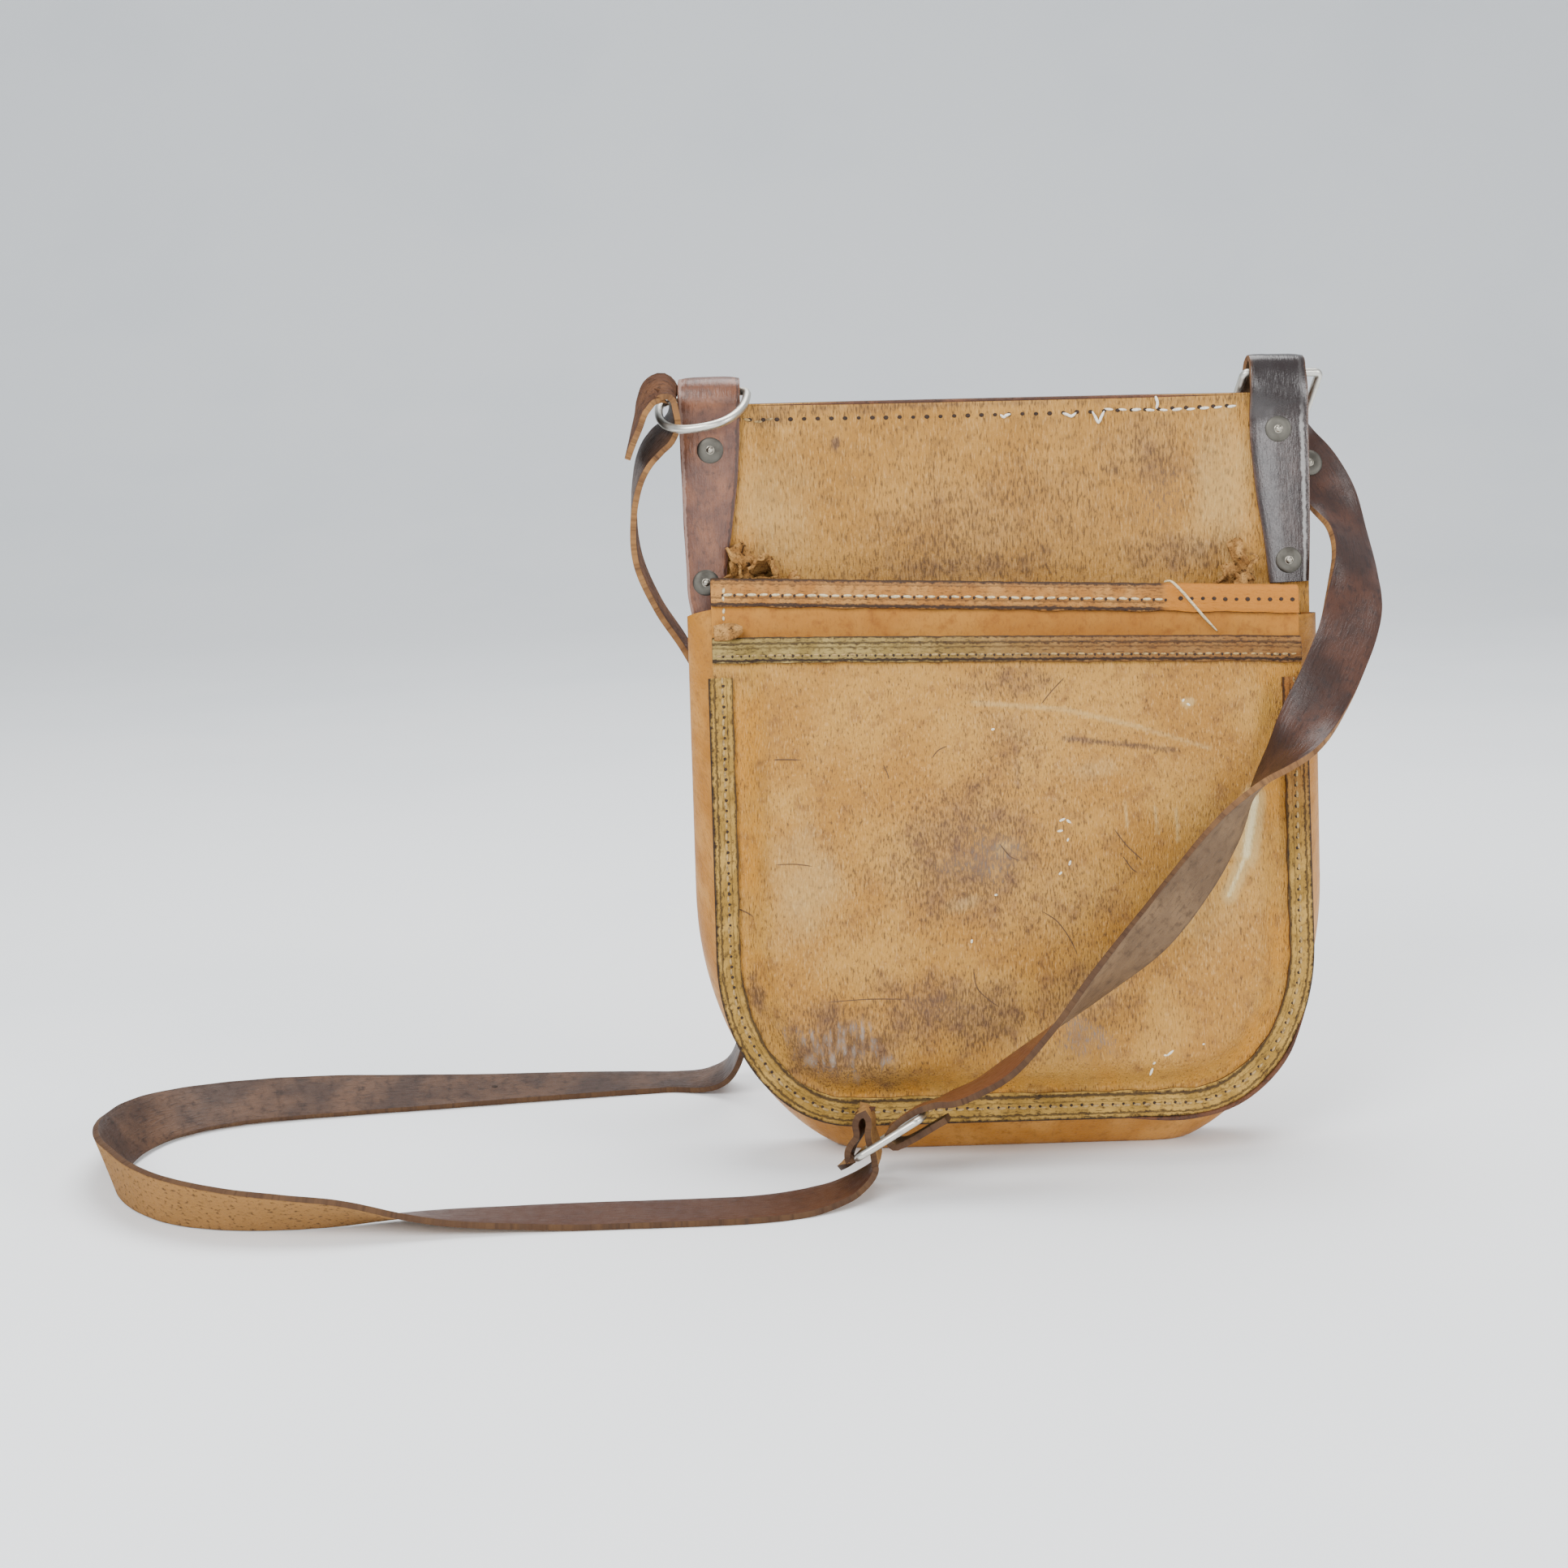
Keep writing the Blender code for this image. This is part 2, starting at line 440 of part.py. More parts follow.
def gusset_rows(back_frame, front_frame):
    """Outer face of the main gusset, one row for each point round the U, flat where it rests."""
    front_line = seam_outline(GUSSET_FRONT_INSET, GUSSET_FRONT_TOP)
    back_corner = (BACK_CORNER[0] - GUSSET_BACK_INSET, BACK_CORNER[1] - GUSSET_BACK_INSET)
    back_line = u_outline(BACK_HALF - GUSSET_BACK_INSET, BACK_BOTTOM + GUSSET_BACK_INSET, back_corner,
                          GUSSET_BACK_TOP)
    rows = []
    for (fx, fz), (bx, bz), (nx, nz) in zip(front_line, back_line, outward_normals(back_line)):
        start = front_frame @ Vector((fx, GAP, fz))
        end = back_frame @ Vector((bx, -GAP, bz))
        out = back_frame.to_3x3() @ Vector((nx, 0.0, nz))
        bulge = GUSSET_SIDE_BULGE + (GUSSET_BOTTOM_BULGE - GUSSET_SIDE_BULGE) * max(0.0, -nz) ** 4
        row = []
        for share, depth in GUSSET_SECTION:
            point = start.lerp(end, depth) + out * bulge * share
            point.z = max(point.z, 0.0)
            row.append(point)
        rows.append(row)
    return rows


def fold_section(front, back, reach):
    """A hem folded over a leather edge: (height over that edge, depth from the leather's middle).

    With no height behind, the hem ends over the edge.
    """
    points = [(-front, -reach), (-0.5 * front, -reach)]
    turns = 5 if back else 3
    for step in range(turns):
        angle = math.pi * step / 4.0
        points.append((reach * math.sin(angle), -reach * math.cos(angle)))
    points.append((-back, reach) if back else (reach, 0.4 * WALL))
    return points


def rim_rows():
    """Middle of the hem over the middle panel's mouth."""
    reach = 0.5 * WALL + GAP + 0.5 * BINDING_THICKNESS
    half = SEAM_HALF - LAYER_INSET
    rows = []
    for step in range(RIM_STEPS + 1):
        x = -half + 2.0 * half * step / RIM_STEPS
        top = slanted_top(MIDDLE_TOP, x)
        section = fold_section(RIM_FRONT, RIM_BACK, reach)
        rows.append([(x, -0.5 * WALL + depth, top + up) for up, depth in section])
    return rows


def hem_rows():
    """Middle of the hem over the front pocket's mouth, following its crown."""
    reach = 0.5 * WALL + GAP + 0.5 * BINDING_THICKNESS
    rows = []
    for column in front_columns():
        x = column * (SEAM_HALF - LAYER_INSET)
        top = slanted_top(FRONT_TOP, x)
        row = []
        for up, depth in fold_section(HEM_FRONT, 0.0, reach):
            rise = front_rise(x, min(top + up, top))
            row.append((x, 0.5 * WALL - FLANGE_FRONT - rise + depth, top + up))
        rows.append(row)
    return rows


def binding_rows():
    """Middle of the binding: inner front edge, round the outer edge, and the short lip behind."""
    outer = 0.5 * BINDING_THICKNESS
    front = -FLANGE_FRONT - GAP - outer
    lip = GAP + outer
    line = seam_outline(0.0, BINDING_TOP)
    rows = []
    for (x, z), (nx, nz) in zip(line, outward_normals(line)):
        wide = BINDING_WIDTH + BOTTOM_FLANGE_EXTRA * max(0.0, -nz) ** 2
        section = ((-wide, front), (-0.5 * wide, front), (-1.9 * MM, front), (-outer, front + 0.5 * MM),
                   (-outer, lip - 0.5 * MM), (-1.2 * MM, lip), (-BINDING_LIP, lip))
        rows.append([(x + nx * out, depth, z + nz * out) for out, depth in section])
    return rows


def spline_point(stations, index, share):
    """Point of a smooth curve through stations, eased by the distances between them."""
    last = len(stations) - 1
    picked = [stations[min(max(index + k, 0), last)] for k in (-1, 0, 1, 2)]
    knots = [0.0]
    for a, b in zip(picked, picked[1:]):
        length = math.dist(a[:3], b[:3])
        knots.append(knots[-1] + max(math.sqrt(length), 0.01))
    t = knots[1] + (knots[2] - knots[1]) * share
    level = picked
    for order in range(1, 4):
        mixed = []
        for k in range(4 - order):
            low, high = knots[k], knots[k + order]
            if order == 3:
                low, high = knots[1], knots[2]
            elif order == 2:
                low, high = knots[k], knots[k + 2]
            part = (t - low) / (high - low)
            mixed.append(tuple(a + (b - a) * part for a, b in zip(level[k], level[k + 1])))
        level = mixed
    return level[0]


def route_samples(route, step):
    """Evenly close samples along a route of stations."""
    samples = []
    for index in range(len(route) - 1):
        length = math.dist(route[index][:3], route[index + 1][:3])
        count = max(2, math.ceil(length / step))
        for k in range(count):
            samples.append(spline_point(route, index, k / count))
    samples.append(route[-1])
    return samples


def ribbon_rows(samples):
    """Three points across a strap at each sample of x, y, z, width direction and half width."""
    rows = []
    for i, sample in enumerate(samples):
        before = Vector(samples[max(i - 1, 0)][:3])
        after = Vector(samples[min(i + 1, len(samples) - 1)][:3])
        along = (after - before).normalized()
        width = Vector(sample[3:6])
        width = (width - along * width.dot(along)).normalized()
        centre = Vector(sample[:3])
        rows.append([(centre + width * side * sample[6]) * MM for side in (-1.0, 0.0, 1.0)])
    return rows


def station_turn(route, index):
    """Place and turn of a strap station: its own x across, y along and z out of the front face."""
    along = (Vector(route[index + 1][:3]) - Vector(route[index - 1][:3])).normalized()
    width = Vector(route[index][3:6])
    width = (width - along * width.dot(along)).normalized()
    turned = Matrix((width, -along, along.cross(width))).transposed().to_4x4()
    turned.translation = Vector(route[index][:3]) * MM
    return turned


def tab_route(table):
    """Tab stations widened to the strap's columns."""
    return [(x, y, z, wx, wy, 0.0, half) for x, y, z, wx, wy, half in table]


def ring_curve(name, points, wire):
    """A closed ring of round wire through points of the xz plane."""
    curve = bpy.data.curves.new(name, "CURVE")
    curve.dimensions = "3D"
    curve.bevel_depth = wire
    curve.bevel_resolution = 2
    curve.resolution_u = 1
    spline = curve.splines.new("POLY")
    spline.points.add(len(points) - 1)
    for point, (x, z) in zip(spline.points, points):
        point.co = (x, 0.0, z, 1.0)
    spline.use_cyclic_u = True
    return curve


def dee_points(half, depth):
    """A D: a straight bar along the top and a full curve below it."""
    points = [(4.0 * MM - half, 0.0), (0.0, 0.0), (half - 4.0 * MM, 0.0), (half - 1.2 * MM, -1.0 * MM)]
    for step in range(19):
        angle = math.pi * step / 18.0
        x = half * math.copysign(abs(math.cos(angle)) ** 0.8, math.cos(angle))
        points.append((x, -4.0 * MM - (depth - 4.0 * MM) * math.sin(angle) ** 0.9))
    points.append((-half + 1.2 * MM, -1.0 * MM))
    return points


def frame_points(wide, tall, corner):
    """A rectangle with rounded corners, centred."""
    points = []
    for quarter in range(4):
        sign_x = 1.0 if quarter in (0, 3) else -1.0
        sign_z = 1.0 if quarter in (0, 1) else -1.0
        centre = (sign_x * (0.5 * wide - corner), sign_z * (0.5 * tall - corner))
        for step in range(4):
            angle = 0.5 * math.pi * (quarter + step / 3.0)
            points.append((centre[0] + corner * math.cos(angle), centre[1] + corner * math.sin(angle)))
    return points


def rivet_profile(stack):
    """Half profile of a tubular rivet: domed head with a boss, shank, tail washer; z is 0 under the head."""
    tail = -stack - WASHER_THICKNESS
    return (
        (0.0, 1.7 * MM), (1.1 * MM, 1.6 * MM), (1.7 * MM, 1.1 * MM), (3.4 * MM, 0.95 * MM),
        (4.7 * MM, 0.55 * MM), (RIVET_HEAD, 0.0), (RIVET_SHANK, 0.0), (RIVET_SHANK, -stack),
        (RIVET_WASHER, -stack), (RIVET_WASHER - 0.4 * MM, tail), (0.0, tail),
    )


def turned_mesh(name, profile):
    """A half profile ready to be turned about z."""
    mesh = bpy.data.meshes.new(name)
    points = [(x, 0.0, z) for x, z in profile]
    mesh.from_pydata(points, [(i, i + 1) for i in range(len(points) - 1)], [])
    return mesh


def turn(piece, steps):
    """Turns a half profile once round z and closes it."""
    screw = piece.modifiers.new("turned", "SCREW")
    screw.angle = 2.0 * math.pi
    screw.steps = steps
    screw.render_steps = steps
    screw.use_merge_vertices = True
    screw.merge_threshold = 0.02 * MM
    screw.use_smooth_shade = False


def add_rivet(group, name, parent, place, rotation, stack):
    """A rivet whose head's underside is at the place, pointing along its own -z."""
    piece = add_piece(group, name, turned_mesh(name, rivet_profile(stack)), parent, place, rotation)
    turn(piece, TURN_STEPS)


def add_drill(group, name, parent, place, rotation, length):
    """A round cutter through leather, centred on the place."""
    bm = bmesh.new()
    bmesh.ops.create_cone(bm, cap_ends=True, segments=16, radius1=RIVET_HOLE, radius2=RIVET_HOLE, depth=length)
    mesh = bpy.data.meshes.new(name)
    bm.to_mesh(mesh)
    bm.free()
    cutter = bpy.data.objects.new(name, mesh)
    cutter.location = place
    cutter.rotation_euler = rotation
    cutter.parent = parent
    cutter.display_type = "WIRE"
    cutter.hide_render = True
    group.objects.link(cutter)
    return cutter


def cut(piece, cutter):
    """Subtracts a cutter from a piece."""
    boolean = piece.modifiers.new(cutter.name, "BOOLEAN")
    boolean.operation = "DIFFERENCE"
    boolean.solver = "EXACT"
    boolean.object = cutter


def add_sheet(group, name, rows, parent, thickness, offset):
    """A leather piece from rows of points; offset -1 keeps the rows as its outer face, 0 as its middle."""
    piece = add_piece(group, name, grid_mesh(name, rows), parent)
    thicken(piece, thickness, offset)
    return piece


def build_back(group, back):
    """The tall back panel."""
    top = (BACK_TOP[0] - BACK_TOP_ROUND, BACK_TOP[1] - BACK_TOP_ROUND)
    outline = u_outline(BACK_HALF, BACK_BOTTOM, BACK_CORNER, top)
    outline.append((BACK_HALF - BACK_TOP_ROUND, BACK_TOP[1]))
    outline.append((BACK_TOP_ROUND - BACK_HALF, BACK_TOP[0]))
    return add_piece(group, "back_panel", plate_mesh("back_panel", outline, 0.0, BACK_THICKNESS), back)


def build_pockets(group, foot, front):
    """The middle panel, gusset, front pocket wall, hems and binding of the bag."""
    middle_outline = seam_outline(LAYER_INSET, MIDDLE_TOP)
    add_piece(group, "middle_panel", plate_mesh("middle_panel", middle_outline, -WALL, 0.0), front)
    back_frame = Matrix.Rotation(-LEAN, 4, "X")
    front_frame = back_frame @ Matrix.Translation((0.0, -POCKET_DEPTH, 0.0)) @ Matrix.Rotation(-WEDGE, 4, "X")
    add_sheet(group, "main_gusset", gusset_rows(back_frame, front_frame), foot, WALL, -1.0)
    add_sheet(group, "front_panel", front_panel_rows(), front, WALL, -1.0)
    add_sheet(group, "rim_binding", rim_rows(), front, BINDING_THICKNESS, 0.0)
    add_sheet(group, "front_hem", hem_rows(), front, BINDING_THICKNESS, 0.0)
    add_sheet(group, "edge_binding", binding_rows(), front, BINDING_THICKNESS, 0.0)


def build_tabs(group, cutters, back, panel):
    """The two riveted loops, their rivets and the holes for them."""
    tabs = {}
    for name, table in (("tab_left", TAB_LEFT_ROUTE), ("tab_right", TAB_RIGHT_ROUTE)):
        rows = ribbon_rows(route_samples(tab_route(table), TAB_STEP))
        tabs[name] = add_sheet(group, name, rows, back, TAB_THICKNESS, 0.0)
    head_y = TAB_FRONT_DEPTH - 0.5 * TAB_THICKNESS - GAP
    forward = (0.5 * math.pi, 0.0, 0.0)
    for name, tab, x, z, through_tail in TAB_RIVETS:
        rear = TAB_REAR_DEPTH + 0.5 * TAB_THICKNESS if through_tail else BACK_THICKNESS
        add_rivet(group, name, back, (x, head_y, z), forward, rear + GAP - head_y)
        drill = add_drill(cutters, name.replace("rivet", "hole"), back, (x, 0.0, z), forward, DRILL_LENGTH)
        cut(tabs[tab], drill)
        cut(panel, drill)


def build_rings(group, foot, back):
    """The D-ring, the square ring and the loose strap ring."""
    left = ring_curve("ring_left", dee_points(*RING_LEFT_SIZE), ROUND_RING_WIRE)
    right = ring_curve("ring_right", frame_points(*RING_RIGHT_SIZE), SQUARE_RING_WIRE)
    loose = ring_curve("ring_strap", frame_points(*RING_STRAP_SIZE), STRAP_RING_WIRE)
    add_piece(group, "ring_left", left, back, RING_LEFT_PLACE, RING_LEFT_TURN)
    add_piece(group, "ring_right", right, back, RING_RIGHT_PLACE, RING_RIGHT_TURN)
    add_piece(group, "ring_strap", loose, foot, RING_STRAP_PLACE, RING_STRAP_TURN)


def build_straps(group, cutters, foot):
    """The two parts of the shoulder strap and the rivet of the upper fold."""
    add_sheet(group, "strap_long", ribbon_rows(route_samples(STRAP_LONG_ROUTE, STRAP_STEP)), foot,
              STRAP_THICKNESS, 0.0)
    short = add_sheet(group, "strap_short", ribbon_rows(route_samples(STRAP_SHORT_ROUTE, STRAP_STEP)), foot,
                      STRAP_THICKNESS, 0.0)
    turned = station_turn(STRAP_SHORT_ROUTE, STRAP_RIVET_STATION)
    rotation = turned.to_euler()
    head = turned @ Vector((0.0, 0.0, 0.5 * STRAP_THICKNESS + GAP))
    add_rivet(group, "rivet_strap", foot, head, rotation, 2.0 * STRAP_THICKNESS + 3.0 * GAP)
    cut(short, add_drill(cutters, "hole_strap", foot, turned.translation, rotation, STRAP_DRILL_LENGTH))


def main():
    """Builds the satchel."""
    clear_scene()
    group = new_collection("leather_satchel")
    cutters = new_collection("cutters")
    foot = add_empty(group, "foot", None, (0.0, REST_CENTRE, 0.0), 0.0)
    back = add_empty(group, "back_frame", foot, (0.0, 0.0, 0.0), -LEAN)
    front = add_empty(group, "front_frame", back, (0.0, -POCKET_DEPTH, 0.0), -WEDGE)
    panel = build_back(group, back)
    build_pockets(group, foot, front)
    build_tabs(group, cutters, back, panel)
    build_rings(group, foot, back)
    build_straps(group, cutters, foot)


main()
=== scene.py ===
"""Old leather satchel: leather, stitching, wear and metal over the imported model, and the studio around it.

Tables are in millimetres. The back frame has x to the right, y to the rear and z up the back panel; the front
frame is the same for the pocket wall. The foot frame is level, below the bag's middle.
"""
import math
import random

import bmesh
import bpy
from mathutils import Euler, Matrix, Vector, noise


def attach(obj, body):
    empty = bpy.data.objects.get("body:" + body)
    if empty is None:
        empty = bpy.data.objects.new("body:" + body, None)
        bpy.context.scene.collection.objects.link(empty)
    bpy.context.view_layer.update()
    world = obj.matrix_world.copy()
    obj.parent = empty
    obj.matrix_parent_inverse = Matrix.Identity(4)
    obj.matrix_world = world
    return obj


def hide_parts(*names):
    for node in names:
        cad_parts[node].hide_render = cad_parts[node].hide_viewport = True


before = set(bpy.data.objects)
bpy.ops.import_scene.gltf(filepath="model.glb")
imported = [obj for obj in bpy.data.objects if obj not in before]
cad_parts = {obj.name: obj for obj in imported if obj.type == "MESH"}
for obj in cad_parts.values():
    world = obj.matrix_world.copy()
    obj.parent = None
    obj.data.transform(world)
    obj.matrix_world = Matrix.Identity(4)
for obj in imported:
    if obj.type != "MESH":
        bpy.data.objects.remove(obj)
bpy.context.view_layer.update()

bl_info = {
    "name": "Leather satchel",
    "version": (1, 0, 0),
    "blender": (4, 5, 0),
    "location": "3D View > Sidebar > Satchel",
    "description": "Leather, stitching, wear and metal of an old shoulder satchel",
    "category": "Object",
}

MM = 0.001
LEAN = math.radians(6.5)
WEDGE = math.radians(4.2)
FOOT = Matrix.Translation((0.0, 0.007, 0.0)) @ Matrix.Scale(MM, 4)
BACK = FOOT @ Matrix.Rotation(-LEAN, 4, "X")
FRONT = BACK @ Matrix.Translation((0.0, -30.0, 0.0)) @ Matrix.Rotation(-WEDGE, 4, "X")

# Outlines and depths of the bag
SEAM_HALF, SEAM_BOTTOM, SEAM_CORNER = 112.3, 12.0, (50.0, 64.0)
LAYER_INSET = 1.8
SIDE_STEPS, TURN_STEPS, BASE_STEPS = 40, 34, 30
BACK_HALF, BACK_BOTTOM, BACK_CORNER, BACK_TOP = 118.5, 1.6, (74.0, 104.0), (285.0, 283.4)
MIDDLE_TOP, FRONT_TOP, BINDING_TOP = (217.0, 207.9), (194.3, 188.6), (181.6, 175.9)
GUSSET_FRONT_TOP, GUSSET_BACK_TOP = (208.4, 199.2), (204.0, 199.6)
FLANGE_FRONT, FLANGE_WIDTH, BOTTOM_FLANGE_EXTRA = 4.3, 10.3, 1.4
SHOULDER_RISE, SHOULDER_RUN = 7.0, 13.0
CROWN, CROWN_HEIGHT, MOUTH_RISE = 7.0, 92.0, 0.62
BORDER_FROM, BORDER_OVER, MOUTH_FROM, MOUTH_OVER = 70.0, 60.0, 120.0, 75.0
BINDING_WIDTH, BINDING_LIP = 9.3, 2.2
RIM_FRONT, RIM_BACK, HEM_FRONT = 8.2, 6.6, 7.2
RIM_FACE, HEM_FACE, BINDING_FACE, MIDDLE_FACE = -3.8, -6.1, -6.1, -2.0
TAB_FACE, TAB_CROWN, TAB_HALF, TAB_STEP, STRAP_FACE, STRAP_STEP = -2.8, 0.7, 11.2, 1.4, 1.45, 1.3
GUSSET_INSET, GUSSET_FRONT_INSET, GUSSET_GAP, GUSSET_BULGE, BOTTOM_BULGE = 3.5, 4.0, 0.3, 6.6, 6.0
BINDING_HALF, BINDING_GAP, BINDING_FLAT, BINDING_REAR = 0.75, 0.3, 1.9, 1.05
SUNK = 0.05

# Gusset section, from the sewn front edge to the back panel: share of the bulge, share of the depth
GUSSET_SECTION = (
    (0.00, 0.000), (0.06, 0.080), (0.30, 0.200), (0.60, 0.350), (0.84, 0.500),
    (0.97, 0.640), (1.00, 0.760), (0.86, 0.880), (0.52, 0.955), (0.00, 1.000),
)

# Loop of the left tab in the back frame: x, y, z, half width and how far its width turns to the rear
TAB_LEFT_ROUTE = (
    (-111.5, -1.4, 206.0, 6.6), (-112.0, -1.4, 212.0, 7.2), (-112.0, -1.4, 223.0, 7.6),
    (-111.0, -1.4, 240.0, 9.2), (-109.8, -1.4, 258.0, 10.6), (-109.5, -1.4, 271.0, 11.2),
    (-109.3, -2.3, 279.0, 11.4), (-109.2, -5.0, 285.4, 11.7), (-109.1, -3.4, 291.6, 11.7),
    (-109.1, 1.3, 293.9, 11.4), (-109.1, 5.2, 292.1, 11.2), (-109.2, 6.8, 288.0, 11.2),
    (-109.3, 5.6, 280.0, 11.2), (-109.5, 4.0, 271.0, 11.0), (-109.6, 4.0, 256.0, 10.4), (-110.0, 4.0, 236.0, 9.4),
)

# Loop of the right tab, turned a little at the top
TAB_RIGHT_ROUTE = (
    (110.4, -1.4, 211.2, 7.4), (110.2, -1.4, 217.0, 7.8), (109.6, -1.4, 230.0, 8.8), (108.2, -1.4, 250.0, 10.4),
    (107.4, -1.4, 266.0, 11.0), (107.2, -1.5, 274.0, 11.1), (107.1, -2.9, 282.0, 11.1, 0.1),
    (107.0, -2.9, 287.0, 11.1, 0.16), (107.0, -1.6, 292.6, 11.1, 0.22), (107.0, 0.2, 295.4, 11.1, 0.24),
    (106.8, 2.4, 296.3, 11.1, 0.24), (106.4, 4.6, 295.2, 11.1, 0.24), (106.2, 6.2, 292.0, 11.1, 0.22),
    (106.2, 6.6, 286.0, 11.1, 0.14), (106.4, 5.2, 280.0, 11.0, 0.04), (106.8, 4.0, 276.0, 10.9),
    (107.0, 4.0, 270.0, 10.8), (107.4, 4.0, 256.0, 10.4), (108.0, 4.0, 238.0, 9.6),
)

# Long strap in the foot frame: x, y, z, width direction (x, y, z), half width. A row leaves out the last columns
# where they stay as they were in the row before.
STRAP_LONG_ROUTE = (
    (-140.4, 22.1, 264.6, 0.0, 0.98, 0.14, 10.2), (-138.2, 22.1, 271.0, -0.02, 0.97, 0.2, 10.0),
    (-135.9, 22.1, 277.4, -0.05, 0.94, 0.3, 9.8), (-133.6, 22.1, 284.0, -0.08, 0.91, 0.4, 9.6),
    (-130.4, 22.1, 288.8, -0.1, 0.88, 0.47, 9.4), (-126.4, 22.1, 290.4), (-123.2, 22.1, 288.0),
    (-122.4, 22.1, 283.1), (-122.9, 22.1, 278.2), (-125.2, 22.1, 273.9),
    (-129.2, 22.1, 270.0, -0.1, 0.89, 0.45, 9.8), (-133.0, 22.3, 265.4, -0.1, 0.92, 0.4, 10.4),
    (-136.6, 22.8, 257.5, -0.08, 0.95, 0.3, 10.8), (-139.2, 25.0, 243.0, -0.04, 0.98, 0.18),
    (-138.6, 28.5, 226.0, 0.0, 1.0, 0.1), (-131.8, 33.0, 207.5, 0.0, 1.0, 0.06),
    (-122.0, 37.5, 190.5, 0.0, 1.0, 0.05), (-111.6, 40.0, 168.0, 0.0, 1.0, 0.0), (-104.6, 40.5, 136.0),
    (-101.8, 41.0, 90.0), (-102.2, 47.0, 54.0, 0.0, 1.0, 0.1), (-105.2, 56.0, 24.0, 0.0, 0.97, 0.2),
    (-112.0, 64.0, 9.0, 0.05, 0.98, 0.12), (-122.0, 69.5, 3.0, 0.05, 1.0, 0.04),
    (-135.0, 72.6, 1.4, 0.04, 1.0, 0.0), (-150.0, 71.0, 1.9, -0.04, 1.0, 0.04),
    (-174.0, 67.6, 2.8, -0.1, 0.99, 0.12), (-212.0, 61.8, 3.9, -0.1, 0.97, 0.22),
    (-241.0, 57.2, 5.0, -0.1, 0.94, 0.33), (-269.0, 52.6, 6.2, -0.12, 0.89, 0.44),
    (-291.0, 48.4, 7.0, -0.16, 0.85, 0.5), (-312.0, 42.6, 7.5, -0.26, 0.8, 0.54),
    (-329.0, 33.0, 8.3, -0.5, 0.62, 0.62), (-340.5, 20.0, 9.2, -0.66, 0.3, 0.7),
    (-346.0, 2.0, 10.1, -0.58, 0.06, 0.82), (-346.6, -17.0, 10.8, -0.42, -0.02, 0.91),
    (-343.0, -34.0, 11.2, -0.26, -0.12, 0.96), (-335.0, -49.0, 11.3, -0.15, -0.16, 0.98),
    (-323.0, -64.5, 11.2, -0.15, -0.24, 0.96), (-308.0, -76.0, 10.8, -0.12, -0.36, 0.93),
    (-287.0, -84.0, 10.2, -0.06, -0.52, 0.85), (-266.5, -86.6, 9.4, 0.0, -0.64, 0.77),
    (-247.0, -86.0, 8.2, 0.0, -0.76, 0.65), (-224.0, -83.0, 5.2, 0.0, -0.94, 0.34),
    (-207.0, -81.0, 3.4, 0.0, -0.98, 0.17), (-185.0, -79.4, 2.2, 0.0, -1.0, 0.07),
    (-162.0, -78.4, 1.5, 0.0, -1.0, 0.0), (-140.0, -78.0, 1.4), (-118.0, -77.6, 1.4, 0.04, -1.0, 0.0),
    (-98.0, -76.2, 1.4, 0.16, -0.99, 0.0), (-84.0, -72.6, 1.45, 0.3, -0.95, 0.0),
    (-74.5, -68.4, 2.2, 0.38, -0.92, 0.06), (-66.0, -63.6, 3.8, 0.3, -0.94, 0.14, 10.6),
    (-58.8, -60.2, 7.6, 0.1, -0.96, 0.2), (-55.4, -58.8, 11.4, -0.08, -0.96, 0.24),
    (-55.6, -58.6, 16.4, -0.14, -0.96, 0.24), (-57.0, -58.6, 22.0),
    (-57.8, -58.6, 28.6, -0.14, -0.96, 0.24, 10.0), (-59.5, -58.6, 30.6, -0.14, -0.96, 0.24, 9.8),
    (-61.1, -58.6, 28.4, -0.14, -0.96, 0.24, 10.0), (-61.4, -58.6, 23.0, -0.14, -0.96, 0.24, 10.4),
    (-64.2, -58.7, 17.4), (-65.2, -59.2, 13.6, -0.06, -0.96, 0.22, 10.2),
    (-66.6, -60.6, 11.0, 0.1, -0.96, 0.18, 9.6),
)

